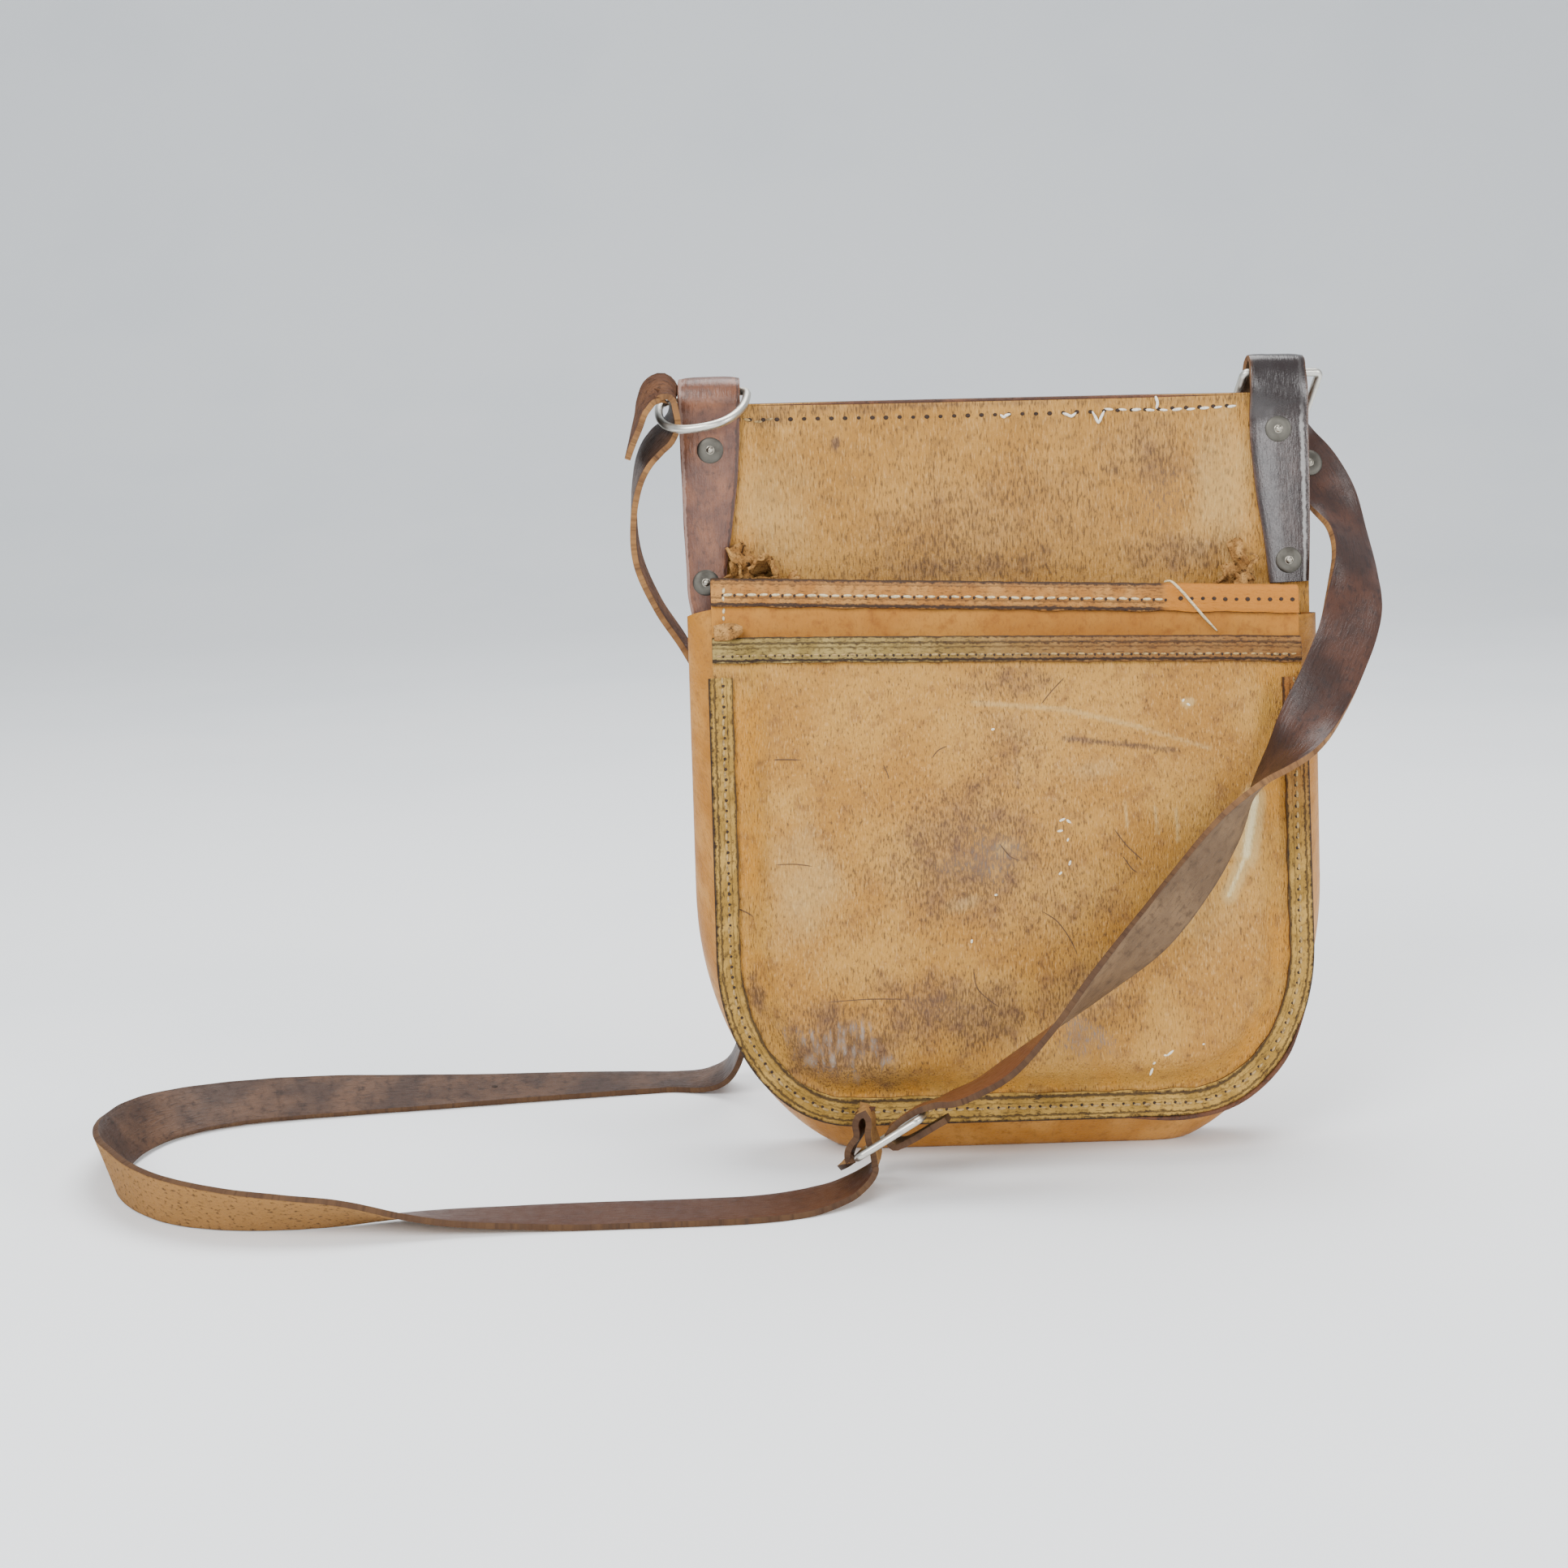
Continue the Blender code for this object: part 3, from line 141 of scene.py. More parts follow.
# Short strap in the same columns, from the tail of its upper fold to the tail of its lower one, and the station
# of its rivet
STRAP_RIVET_STATION = 13
STRAP_SHORT_ROUTE = (
    (125.4, 41.0, 246.7, 0.84, 0.25, 0.48, 9.8), (121.0, 43.0, 252.7, 0.84, 0.25, 0.48, 10.2),
    (118.0, 44.05, 256.2, 0.85, 0.25, 0.46, 10.3), (114.4, 46.6, 260.9, 0.88, 0.24, 0.36, 10.4),
    (109.6, 49.6, 267.6, 0.95, 0.24, 0.1, 10.6), (107.5, 50.0, 272.4, 0.97, 0.23, 0.0), (107.1, 49.0, 275.1),
    (106.8, 46.7, 276.1), (107.0, 44.4, 275.1), (107.4, 43.3, 272.4), (109.6, 42.8, 268.0, 0.95, 0.24, 0.1),
    (115.2, 42.4, 260.6, 0.88, 0.24, 0.36), (118.2, 41.45, 257.1, 0.85, 0.25, 0.46, 10.7),
    (121.2, 40.5, 253.6, 0.84, 0.25, 0.48, 10.8), (125.6, 38.5, 247.6, 0.86, 0.3, 0.4),
    (129.4, 36.2, 240.8, 0.86, 0.4, 0.26), (133.8, 30.4, 229.5, 0.78, 0.6, -0.1),
    (135.1, 21.0, 217.0, 0.84, 0.38, -0.42), (130.4, 5.0, 198.2, 0.95, -0.15, -0.25),
    (120.6, -9.0, 180.7, 0.88, -0.3, -0.36), (109.3, -18.5, 163.4, 0.79, -0.56, -0.25),
    (102.7, -23.5, 154.4, 0.6, -0.8, -0.02), (94.6, -28.0, 146.6, 0.33, -0.91, 0.24),
    (87.4, -31.6, 139.8, 0.0, -0.91, 0.42), (77.1, -36.6, 127.6, -0.4, -0.73, 0.56),
    (64.2, -42.0, 111.6, -0.58, -0.55, 0.6), (48.0, -47.4, 93.2, -0.54, -0.5, 0.68),
    (27.6, -52.0, 75.0, -0.32, -0.78, 0.54), (10.0, -55.2, 59.0, -0.1, -0.96, 0.28),
    (-7.0, -57.4, 44.8, 0.04, -0.99, 0.1), (-18.0, -58.3, 38.2, -0.01, -0.99, 0.13),
    (-27.0, -58.6, 34.6, -0.04, -0.98, 0.14), (-33.0, -58.6, 33.0, -0.14, -0.96, 0.24, 10.6),
    (-38.6, -58.6, 31.4), (-43.4, -58.6, 28.8), (-47.6, -58.6, 25.6),
    (-49.7, -58.6, 22.4, -0.14, -0.96, 0.24, 10.4), (-48.6, -58.6, 19.6),
    (-45.2, -58.6, 18.8, -0.14, -0.96, 0.24, 10.6), (-40.8, -58.6, 20.6), (-35.0, -58.6, 24.0),
    (-29.0, -58.6, 27.4, -0.14, -0.96, 0.24, 10.2),
)

# Rivets in the back frame: node, x, z, length under the head
TAB_RIVETS = (
    ("rivet_left_upper", -109.3, 267.6, 8.2), ("rivet_left_lower", -112.4, 217.5, 5.7),
    ("rivet_right_upper", 106.8, 269.4, 8.2), ("rivet_right_lower", 110.2, 219.6, 5.7),
)

# Round marks on the pocket wall: kind, x, height, half width, half height, turn in degrees, strength
FRONT_SPOTS = (
    ("dark", -18.0, 113.0, 54.0, 38.0, 14.0, 0.68), ("dark", 2.0, 177.0, 26.0, 10.0, 0.0, 0.55),
    ("dark", -25.0, 55.0, 52.0, 22.0, -4.0, 0.75), ("dark", -97.0, 62.0, 5.0, 12.0, 8.0, 0.9),
    ("dark", -66.0, 42.0, 36.0, 22.0, -10.0, 0.9), ("dark", 22.0, 60.0, 36.0, 22.0, 10.0, 0.55),
    ("dark", 12.0, 98.0, 36.0, 40.0, 0.0, 0.4), ("dark", -2.0, 150.0, 22.0, 28.0, 0.0, 0.4),
    ("creased", -68.0, 41.0, 33.0, 21.0, -12.0, 0.9), ("grey", 24.0, 43.0, 20.0, 15.0, 0.0, 0.7),
    ("grey", -12.0, 112.0, 34.0, 22.0, 14.0, 0.6), ("grey", -30.0, 58.0, 30.0, 14.0, 0.0, 0.5),
    # The broad pale mark at x -78 is a painted highlight: the sheen on the left of the domed wall.
    ("grey", 60.0, 62.0, 22.0, 16.0, 30.0, 0.3), ("pale", -78.0, 103.0, 22.0, 42.0, 0.0, 0.6),
    ("pale", -20.0, 95.0, 12.0, 4.6, 16.0, 0.5), ("pale", -4.4, 115.3, 7.0, 4.6, 20.0, 0.45),
    ("pale", 66.2, 167.0, 4.0, 3.0, 0.0, 1.1), ("pale", 70.0, 88.0, 30.0, 34.0, 0.0, 0.4),
    ("pale", 0.0, 160.0, 40.0, 9.0, -8.0, 0.3), ("pale", 30.0, 143.0, 20.0, 8.0, 0.0, 0.5),
)

# Drawn marks: kind, x, height, x, height, half width, strength
FRONT_LINES = (
    ("pale", -14.0, 169.5, 20.0, 166.0, 1.9, 0.85), ("pale", 20.0, 166.0, 48.0, 158.5, 1.9, 0.85),
    ("pale", 48.0, 158.5, 74.0, 149.8, 1.7, 0.7), ("dark", 19.0, 155.3, 60.0, 149.8, 1.8, 1.0),
    ("pale", 90.0, 131.0, 86.0, 110.0, 7.0, 1.7), ("pale", 86.0, 110.0, 79.0, 95.0, 5.0, 1.5),
    ("dark", 1.0, 157.0, 1.5, 138.0, 2.2, 0.8), ("pale", 41.0, 131.0, 41.6, 122.0, 1.2, 0.9),
    ("pale", 52.0, 129.0, 53.0, 119.0, 1.2, 0.9), ("pale", 60.0, 128.0, 60.4, 116.0, 1.3, 0.9),
)

# White flecks of old paint on the pocket wall: x, height, length, turn in degrees
FRONT_FLECKS = (
    (-6.2, 159.3, 1.4, 0.0), (18.4, 125.8, 2.6, 40.0), (20.4, 123.6, 2.0, -60.0), (17.6, 121.4, 2.4, 20.0),
    (19.4, 118.4, 1.6, 80.0), (-17.0, 81.8, 1.5, 70.0), (57.0, 37.9, 3.4, 25.0), (54.4, 36.4, 1.6, 0.0),
    (48.8, 31.6, 3.0, 80.0), (50.0, 34.0, 1.4, 40.0), (-7.2, 98.0, 1.3, 0.0), (67.0, 166.0, 1.6, -30.0),
    (65.0, 168.6, 1.5, 50.0), (20.0, 110.0, 2.0, 80.0), (16.6, 106.0, 1.6, 60.0), (68.6, 40.0, 1.2, 0.0),
)

# Scratches with dirt in them, each a line of x, height on the pocket wall
SCRATCHES = (
    ((20.6, 178.0), (15.0, 172.4), (11.3, 168.0)), ((36.4, 121.5), (41.0, 115.0), (47.3, 108.9)),
    ((-17.0, 71.3), (-15.5, 63.3), (-7.5, 56.2)), ((-105.0, 95.6), (-99.0, 92.6), (-92.4, 87.0)),
    ((-89.3, 111.3), (-82.0, 111.4), (-75.2, 110.4)), ((-48.0, 147.4), (-46.6, 144.2), (-46.0, 141.8)),
    ((-73.6, 59.6), (-56.0, 60.6), (-40.7, 60.2)), ((-6.0, 117.0), (-2.0, 112.0), (1.6, 110.4)),
    ((8.0, 92.0), (14.0, 88.0), (19.0, 81.0), (22.0, 74.0)), ((-30.0, 149.0), (-27.6, 152.0), (-24.0, 153.6)),
    ((39.6, 111.0), (43.0, 106.0), (45.0, 104.6)), ((-98.0, 148.6), (-88.0, 150.4), (-78.0, 150.0)),
)

# Round marks on the back panel
BACK_SPOTS = (
    ("dark", -6.0, 236.0, 70.0, 34.0, 8.0, 0.45), ("dark", 58.0, 262.0, 26.0, 22.0, 0.0, 0.55),
    ("dark", -16.0, 221.0, 62.0, 10.0, 0.0, 0.6), ("dark", 70.0, 224.0, 36.0, 12.0, 0.0, 0.6),
    ("dark", -61.5, 269.0, 2.4, 3.8, 0.0, 1.6), ("dark", -88.0, 278.0, 14.0, 4.0, 0.0, 0.6),
    ("grey", 60.0, 244.0, 30.0, 32.0, 0.0, 0.5), ("pale", -86.0, 244.0, 26.0, 44.0, 0.0, 0.5),
    ("pale", 86.0, 248.0, 22.0, 46.0, 0.0, 0.6),
)

# Worn lines along the top of the back panel
BACK_LINES = (
    ("dark", -96.0, 283.6, 20.0, 282.6, 1.6, 1.0), ("dark", 20.0, 282.6, 96.0, 281.8, 1.2, 0.6),
    ("dark", -94.0, 281.6, -40.0, 281.0, 1.6, 0.7),
)

# Leather of each piece, lengths in mm: base, light, dark and stroke colour as sRGB hex; size of a stroke along
# x, y, z; size of a patch; roughness where rubbed and where dry; relief of the grain; strength of the strokes;
# specular level. Some have more. clean: colour that sun and hands didn't reach; lines: painted lines along the
# piece, each with its place, half width, strength and a colour if not edge: on the hems and the binding painted
# shade along the folds and where a layer lies over another, with dirt and torn spots, and on the tabs painted
# highlights and painted shade along the edges; rim: where the dark rim starts and is full; edge: colour of both;
# drift and fade: from where to where a colour comes in along the piece, under or over the lines.
LEATHERS = {
    # Grained hide, glazed and then rubbed dull: short upright strokes over broad light and dark patches
    "front_panel": ("A27026 B28236 83592A 66442A", (0.6, 0.6, 2.3), 30.0, (0.38, 0.56), 0.34, 0.4, 0.3,
        dict(clean="BA7F28")),
    "back_panel": ("A0702A B08038 86602E 6A482A", (0.65, 0.65, 2.9), 34.0, (0.42, 0.6), 0.4, 0.36, 0.3,
        dict(clean="B68034")),
    # Smooth side of the same hide, kept clean under the hem: orange, close-grained, slightly glossy
    "middle_panel": ("A06414 AE7424 864E12 6A3E12", (0.9, 0.9, 2.0), 26.0, (0.4, 0.54), 0.1, 0.3, 0.25, {}),
    "main_gusset": ("A66C1E BA8238 8E5C1C 6E421C", (1.2, 1.2, 2.4), 22.0, (0.36, 0.5), 0.14, 0.4, 0.35, {}),
    "rim_binding": ("9A6428 AC793C 68421F 402A19", (0.8, 3.0, 1.0), 10.0, (0.5, 0.68), 0.28, 0.7, 0.25,
        # The rim's dark lines are painted shade along its fold and where it lies over the panel, with dirt; the
        # top one is also torn dark spots.
        dict(edge="2C1D15", lines=((-8.0, 1.1, 0.95), (1.7, 1.8, 0.95), (-5.4, 0.6, 0.5), (-0.2, 0.5, 0.5)),
             fade=(55.0, 64.0, "AE6C1C"))),
    # Flesh side turned outwards: dusty olive nap, dark where hands have polished it; dark lines of painted shade
    # along its folds and edges, with some dirt
    "front_hem": ("806A36 98824C 503C22 33261A", (0.8, 4.0, 1.0), 10.0, (0.58, 0.8), 0.34, 0.85, 0.2,
        dict(edge="2A1C15", lines=((-6.9, 0.9, 0.95), (-0.6, 0.7, 0.75), (1.7, 1.0, 0.85), (-2.2, 0.5, 0.5)),
             drift=(-70.0, 50.0, "7A4A24"))),
    "edge_binding": ("92702E AC8842 543A1D 312318", (0.8, 4.6, 1.0), 10.0, (0.52, 0.76), 0.36, 0.85, 0.2,
        dict(edge="271A13", lines=((-9.3, 1.0, 0.85), (-0.2, 1.5, 0.95), (-2.4, 0.6, 0.75), (-6.9, 0.4, 0.4)),
             drift=(430.0, 500.0, "8A5024"))),
    # Dyed strap leather: red-brown on the left, nearly black and polished on the right
    "tab_left": ("5A3728 7A4C32 41261B 301D17", (1.1, 5.0, 1.1), 17.0, (0.28, 0.42), 0.12, 0.45, 0.5,
        # Its pale line along the left edge is a painted highlight and its dark line along the right edge painted
        # shade.
        dict(edge="8E5E34", lines=((-10.3, 0.9, 0.6, "A08478"), (10.3, 0.8, 0.7, "2E1C16")), rim=(10.9, 11.8))),
    "tab_right": ("2A1F1D 3A2C28 1C1513 151010", (1.1, 5.0, 1.1), 15.0, (0.2, 0.32), 0.08, 0.4, 0.6,
        # Its pale lines are painted highlights: a streak along the right edge and a broad sheen over the left
        # half.
        dict(edge="5A3B26", lines=((8.5, 1.15, 0.75, "9A9794"), (-5.5, 5.0, 0.3, "6E6C6C")), rim=(9.8, 11.4),
             fade=(56.0, 70.0, "1E1615"))),
    "strap_long": ("3B291F 523A2A 281B15 1E1511", (1.0, 6.0, 1.0), 20.0, (0.38, 0.54), 0.16, 0.6, 0.22,
        dict(edge="3A2418", rim=(9.8, 11.4), drift=(620.0, 720.0, "4A2A18"))),
    "strap_short": ("32211B 452C22 231613 1A1110", (1.0, 6.0, 1.0), 20.0, (0.26, 0.4), 0.1, 0.5, 0.32,
        dict(edge="46291C", rim=(9.8, 11.4), drift=(250.0, 310.0, "6A3D26"))),
    # Flesh side of the strap: dark near the ring, tan suede where it turns round on the floor
    "strap_suede": ("4C3020 66432B 352116 2A1B14", (1.5, 2.2, 1.5), 16.0, (0.72, 0.9), 0.5, 0.8, 0.15,
        dict(edge="3E281A", rim=(9.8, 11.4), drift=(380.0, 430.0, "A07642"))),
    "strap_flesh": ("5C452E 70563A 443222 35291D", (1.2, 5.0, 1.2), 22.0, (0.5, 0.7), 0.2, 0.5, 0.3,
        dict(edge="3A281C", rim=(9.6, 11.4))),
    "strap_edge": ("74502F 8A6238 4A301C 3A271A", (0.8, 3.0, 0.5), 8.0, (0.6, 0.8), 0.2, 0.6, 0.25,
        dict(drift=(190.0, 280.0, "2C1B12"))),
    "cut_edge": ("5A3B22 74502E 3A2618 2B1D14", (0.8, 3.0, 0.5), 8.0, (0.6, 0.8), 0.2, 0.6, 0.25, {}),
    "dark_edge": ("452818 5E3820 2C1B13 20140F", (0.8, 3.0, 0.5), 12.0, (0.45, 0.6), 0.2, 0.6, 0.3, {}),
    "torn_leather": ("8A6030 AC8048 4A331C 241810", (2.2, 2.2, 2.2), 4.0, (0.7, 0.9), 0.6, 0.9, 0.2, {}),
}

# How far a change of colour along a piece and a painted line of shade or highlight wander to either side, in mm
DRIFT_SWAY, PAINTED_LINE_SWAY = 20.0, 1.2


def linear(hex_colour):
    """An sRGB hex colour as linear red, green, blue and alpha."""
    channels = [int(hex_colour[i:i + 2], 16) / 255.0 for i in (0, 2, 4)]
    return tuple(c / 12.92 if c <= 0.04045 else ((c + 0.055) / 1.055) ** 2.4 for c in channels) + (1.0,)


def length(name, default, description):
    """A length that the user can change."""
    return bpy.props.FloatProperty(name=name, description=description, default=default, unit="LENGTH")


def colour(name, default, description):
    """A colour that the user can change."""
    return bpy.props.FloatVectorProperty(name=name, description=description, default=linear(default), size=4,
                                         subtype="COLOR", min=0.0, max=1.0)


class SatchelSizes(bpy.types.PropertyGroup):
    """Leather and thread sizes."""
    back: length("Back", 0.0026, "Thickness of the back panel")
    wall: length("Wall", 0.002, "Thickness of the pocket walls and the gusset")
    binding: length("Binding", 0.0015, "Thickness of the hems and the edge binding")
    strap: length("Strap", 0.0023, "Thickness of the strap")
    tab: length("Tab", 0.0022, "Thickness of the ring tabs")
    thread: length("Thread", 0.0011, "Width of the sewing thread")


class SatchelColours(bpy.types.PropertyGroup):
    """Main colours of the thread, metal and floor."""
    thread: colour("Thread", "CDBB94", "Linen thread, yellowed")
    bright_thread: colour("Bright thread", "E6E0D2", "Linen thread, still white")
    # Needle holes get a dark colour: painted shade of the holes
    hole: colour("Needle hole", "33241A", "Painted shade in the needle holes")
    nickel: colour("Nickel", "C9C6BC", "Nickel-plated rings")
    rivet: colour("Rivet", "625F58", "Dull steel of the rivets")
    floor: colour("Floor", "F5F7F8", "Plain pale floor")


def connect(tree, made, links):
    """Gives each named input of a node a socket or a plain value."""
    for key, value in links.items():
        if isinstance(value, bpy.types.NodeSocket):
            tree.links.new(value, made.inputs[key])
        else:
            made.inputs[key].default_value = value


def node(tree, kind, links, **settings):
    """Adds a shader node with its settings and links, and gives back its outputs."""
    made = tree.nodes.new("ShaderNode" + kind)
    for key, value in settings.items():
        setattr(made, key, value)
    connect(tree, made, links)
    return made.outputs


def painted(tree, colour, layers):
    """Lays colours over one another: each layer has a value, the range in which it shows, its most and paint."""
    for value, low, high, most, paint in layers:
        share = node(tree, "MapRange", {"Value": value, "From Min": low, "From Max": high, "To Max": most},
                     interpolation_type="SMOOTHSTEP")[0]
        colour = node(tree, "Mix", {0: share, 6: colour, 7: paint}, data_type="RGBA")[2]
    return colour


def new_material(name):
    """An empty material, its node tree and its shader."""
    made = bpy.data.materials.new(name)
    made.use_nodes = True
    return made, made.node_tree, made.node_tree.nodes["Principled BSDF"]


def leather(name, piece_kind, follow=False, marks=False):
    """Tanned hide: grain strokes with depth, soft patches, darker hollows and paler rubbed places.

    follow reads the piece's own flow in millimetres, so the grain bends with it; otherwise it lies in the back
    frame. marks reads painted scuffs and a painted sheen highlight, and lays a painted highlight between the grain
    strokes.
    """
    tones, grain, patch, rough_range, depth, most_strokes, gloss, more = LEATHERS[piece_kind]
    base, light, dark, stroke = (linear(tone) for tone in tones.split())
    made, tree, shader = new_material(name)
    if follow:
        spot = node(tree, "Attribute", {}, attribute_name="flow")["Vector"]
    else:
        place = node(tree, "TexCoord", {})["Object"]
        spot = node(tree, "Mapping", {"Vector": place, "Rotation": (LEAN, 0.0, 0.0),
                                      "Scale": (1000.0, 1000.0, 1000.0)})[0]
    combed = node(tree, "Mapping", {"Vector": spot, "Scale": tuple(1.0 / size for size in grain)})[0]
    strokes = node(tree, "TexNoise", {"Vector": combed, "Scale": 1.0, "Detail": 3.0, "Roughness": 0.6})[0]
    clouds = node(tree, "TexNoise", {"Vector": spot, "Scale": 1.0 / patch, "Detail": 3.0})[0]
    mottle = node(tree, "TexNoise", {"Vector": spot, "Scale": 5.0 / patch, "Detail": 5.0, "Roughness": 0.65})[0]
    fine = node(tree, "TexNoise", {"Vector": spot, "Scale": 1.6, "Detail": 3.0})[0]
    layers = [(clouds, 0.38, 0.64, 1.0, light), (mottle, 0.48, 0.74, 0.85, dark),
              (strokes, 0.53, 0.7, most_strokes, stroke)]
    rough = node(tree, "MapRange", {"Value": mottle, "From Min": 0.3, "From Max": 0.7,
                                    "To Min": rough_range[0], "To Max": rough_range[1]})[0]
    if marks:
        drawn = node(tree, "Attribute", {}, attribute_name="marks")
        parts = node(tree, "SeparateColor", {0: drawn["Color"]})
        stain = node(tree, "Math", {0: parts[0], 1: mottle}, operation="MULTIPLY")[0]
        specks = node(tree, "Math", {0: parts[0], 1: 0.17, 2: strokes}, operation="MULTIPLY_ADD")[0]
        grey = node(tree, "Math", {0: parts[2], 1: strokes}, operation="MULTIPLY")[0]
        pale = node(tree, "Math", {0: strokes, 1: -0.7, 2: parts[1]}, operation="MULTIPLY_ADD")[0]
        layers = [(drawn["Alpha"], 0.2, 0.95, 0.9, linear(more["clean"]))] + layers
        # Painted highlight between the grain strokes: pale where the strokes are low
        layers.append((strokes, 0.47, 0.3, 0.5, linear("C89C60")))
        layers += [(stain, 0.04, 0.56, 0.7, linear("64493A")), (specks, 0.56, 0.7, 0.6, linear("3E2B1A")),
                   (grey, 0.24, 0.6, 0.8, linear("9A8A7C")), (pale, -0.25, 0.6, 0.55, linear("C4A468")),
                   (pale, 0.75, 1.3, 0.8, linear("E2D2A0"))]
        rough = node(tree, "Math", {0: parts[2], 1: -0.12, 2: rough}, operation="MULTIPLY_ADD")[0]
    across, along = node(tree, "SeparateXYZ", {0: spot})[:2]
    if "drift" in more or "fade" in more:
        wander = node(tree, "Math", {0: clouds, 1: 2.0 * DRIFT_SWAY, 2: along}, operation="MULTIPLY_ADD")[0]
    if "drift" in more:
        low, high, paint = more["drift"]
        layers.insert(2, (wander, low + DRIFT_SWAY, high + DRIFT_SWAY, 0.75, linear(paint)))
    # Painted lines along the piece: on the hems and binding painted shade along folds and overlapped edges, with
    # dirt; on the tabs painted highlights and painted shade along their edges
    for at, wide, most, *paint in more.get("lines", ()):
        swaying = node(tree, "Math", {0: mottle, 1: 2.0 * PAINTED_LINE_SWAY, 2: across}, operation="MULTIPLY_ADD")[0]
        away = node(tree, "Math", {0: swaying, 1: at + PAINTED_LINE_SWAY}, operation="SUBTRACT")[0]
        off = node(tree, "Math", {0: away}, operation="ABSOLUTE")[0]
        layers.append((off, wide, 0.3 * wide, most, linear(paint[0] if paint else more["edge"])))
    if "fade" in more:
        low, high, paint = more["fade"]
        layers.append((wander, low + DRIFT_SWAY, high + DRIFT_SWAY, 0.9, linear(paint)))
    if "rim" in more:
        out = node(tree, "Math", {0: across}, operation="ABSOLUTE")[0]
        ragged = node(tree, "Math", {0: mottle, 1: 1.4, 2: out}, operation="MULTIPLY_ADD")[0]
        layers.append((ragged, more["rim"][0] + 0.8, more["rim"][1] + 0.8, 0.75, linear(more["edge"])))
    height = node(tree, "Math", {0: fine, 1: 0.3, 2: strokes}, operation="MULTIPLY_ADD")[0]
    bump = node(tree, "Bump", {"Height": height, "Strength": 1.0, "Distance": depth * 0.002})[0]
    connect(tree, shader, {"Base Color": painted(tree, base, layers), "Roughness": rough, "Normal": bump,
                           "Specular IOR Level": gloss})
    return made


def metal(name, colour, rough, tarnish, depth):
    """Plated or bare steel: soft polish with cloudy tarnish and fine rubbing scratches."""
    made, tree, shader = new_material(name)
    place = node(tree, "TexCoord", {})["Object"]
    cloud = node(tree, "TexNoise", {"Vector": place, "Scale": 160.0, "Detail": 4.0})[0]
    scratch = node(tree, "TexNoise", {"Vector": place, "Scale": 1800.0, "Detail": 2.0})[0]
    shade = painted(tree, tuple(colour), [(cloud, 0.5, 0.78, 0.7, linear(tarnish))])
    gloss = node(tree, "MapRange", {"Value": cloud, "From Min": 0.35, "From Max": 0.7, "To Min": rough,
                                    "To Max": rough + 0.2})[0]
    bump = node(tree, "Bump", {"Height": scratch, "Strength": 1.0, "Distance": depth * 0.001})[0]
    connect(tree, shader, {"Base Color": shade, "Roughness": gloss, "Normal": bump, "Metallic": 1.0})
    return made


def plain(name, colour, dark, rough, scale):
    """Fibre or dirt: a matt colour with a finer, darker one breaking through it."""
    made, tree, shader = new_material(name)
    place = node(tree, "TexCoord", {})["Object"]
    cloud = node(tree, "TexNoise", {"Vector": place, "Scale": scale, "Detail": 3.0})[0]
    shade = painted(tree, tuple(colour), [(cloud, 0.45, 0.7, 0.8, linear(dark))])
    connect(tree, shader, {"Base Color": shade, "Roughness": rough})
    return made


def mesh_from(bm, name):
    """Mesh of a finished bmesh, which is let go."""
    mesh = bpy.data.meshes.new(name)
    bm.to_mesh(mesh)
    bm.free()
    return mesh


def soften(piece, width, segments):
    """Rounds a piece's cut edges."""
    soft = piece.modifiers.new("soft edges", "BEVEL")
    soft.width = width
    soft.segments = segments
    soft.limit_method = "ANGLE"
    soft.angle_limit = math.radians(50.0)


def add(name, mesh, looks, replaces=()):
    """A finished piece on the bag, with its place in its mesh."""
    piece = bpy.data.objects.new(name, mesh)
    bpy.context.scene.collection.objects.link(piece)
    for look in looks:
        mesh.materials.append(look)
    mesh.shade_smooth()
    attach(piece, "root")
    if replaces:
        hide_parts(*replaces)
    return piece


def measured(rows, half=None):
    """Millimetres across and along a grid of world points, counted from its middle column and first row.

    half spreads the columns evenly to either side instead, so that marks keep to the edges of a tapered piece.
    """
    middle = len(rows[0]) // 2
    flow = []
    along = 0.0
    for i, row in enumerate(rows):
        if i:
            along += (row[middle] - rows[i - 1][middle]).length * 1000.0
        across = [0.0]
        for a, b in zip(row, row[1:]):
            across.append(across[-1] + (2.0 * half / (len(row) - 1) if half else (b - a).length * 1000.0))
        flow.append([(value - across[middle], along, 0.0) for value in across])
    return flow


def sheet(name, rows, thickness, looks, offset=0.0, replaces=(), flow=None, marks=None, rounding=0.0005,
          even=True):
    """Leather of one thickness from rows of world points: grain side, flesh side and softened cut edges."""
    across = len(rows[0])
    bm = bmesh.new()
    bmesh.ops.create_grid(bm, x_segments=across - 1, y_segments=len(rows) - 1, size=1.0)
    bm.verts.ensure_lookup_table()
    places = bm.verts.layers.float_vector.new("flow")
    colours = bm.verts.layers.float_color.new("marks") if marks else None
    flow = flow or measured(rows)
    for index, vertex in enumerate(bm.verts):
        row, column = divmod(index, across)
        vertex.co = rows[row][column]
        vertex[places] = flow[row][column]
        if marks:
            vertex[colours] = marks(*flow[row][column][:2])
    piece = add(name, mesh_from(bm, name), looks, replaces)
    solid = piece.modifiers.new("thickness", "SOLIDIFY")
    solid.thickness = thickness
    solid.offset = offset
    solid.use_even_offset = even
    solid.material_offset = 1
    solid.material_offset_rim = 2
    soften(piece, rounding, 2)


def wave(x, y, size, seed):
    """Slow wander of a hand-cut edge, -1 to 1."""
    return noise.noise(Vector((x / size, y / size, seed)))


def spread(low, high, steps):
    """Even values from low to high."""
    return [low + (high - low) * k / steps for k in range(steps + 1)]


def smooth_step(value):
    """0 to 1 with a level start and end."""
    value = min(max(value, 0.0), 1.0)
    return value * value * (3.0 - 2.0 * value)


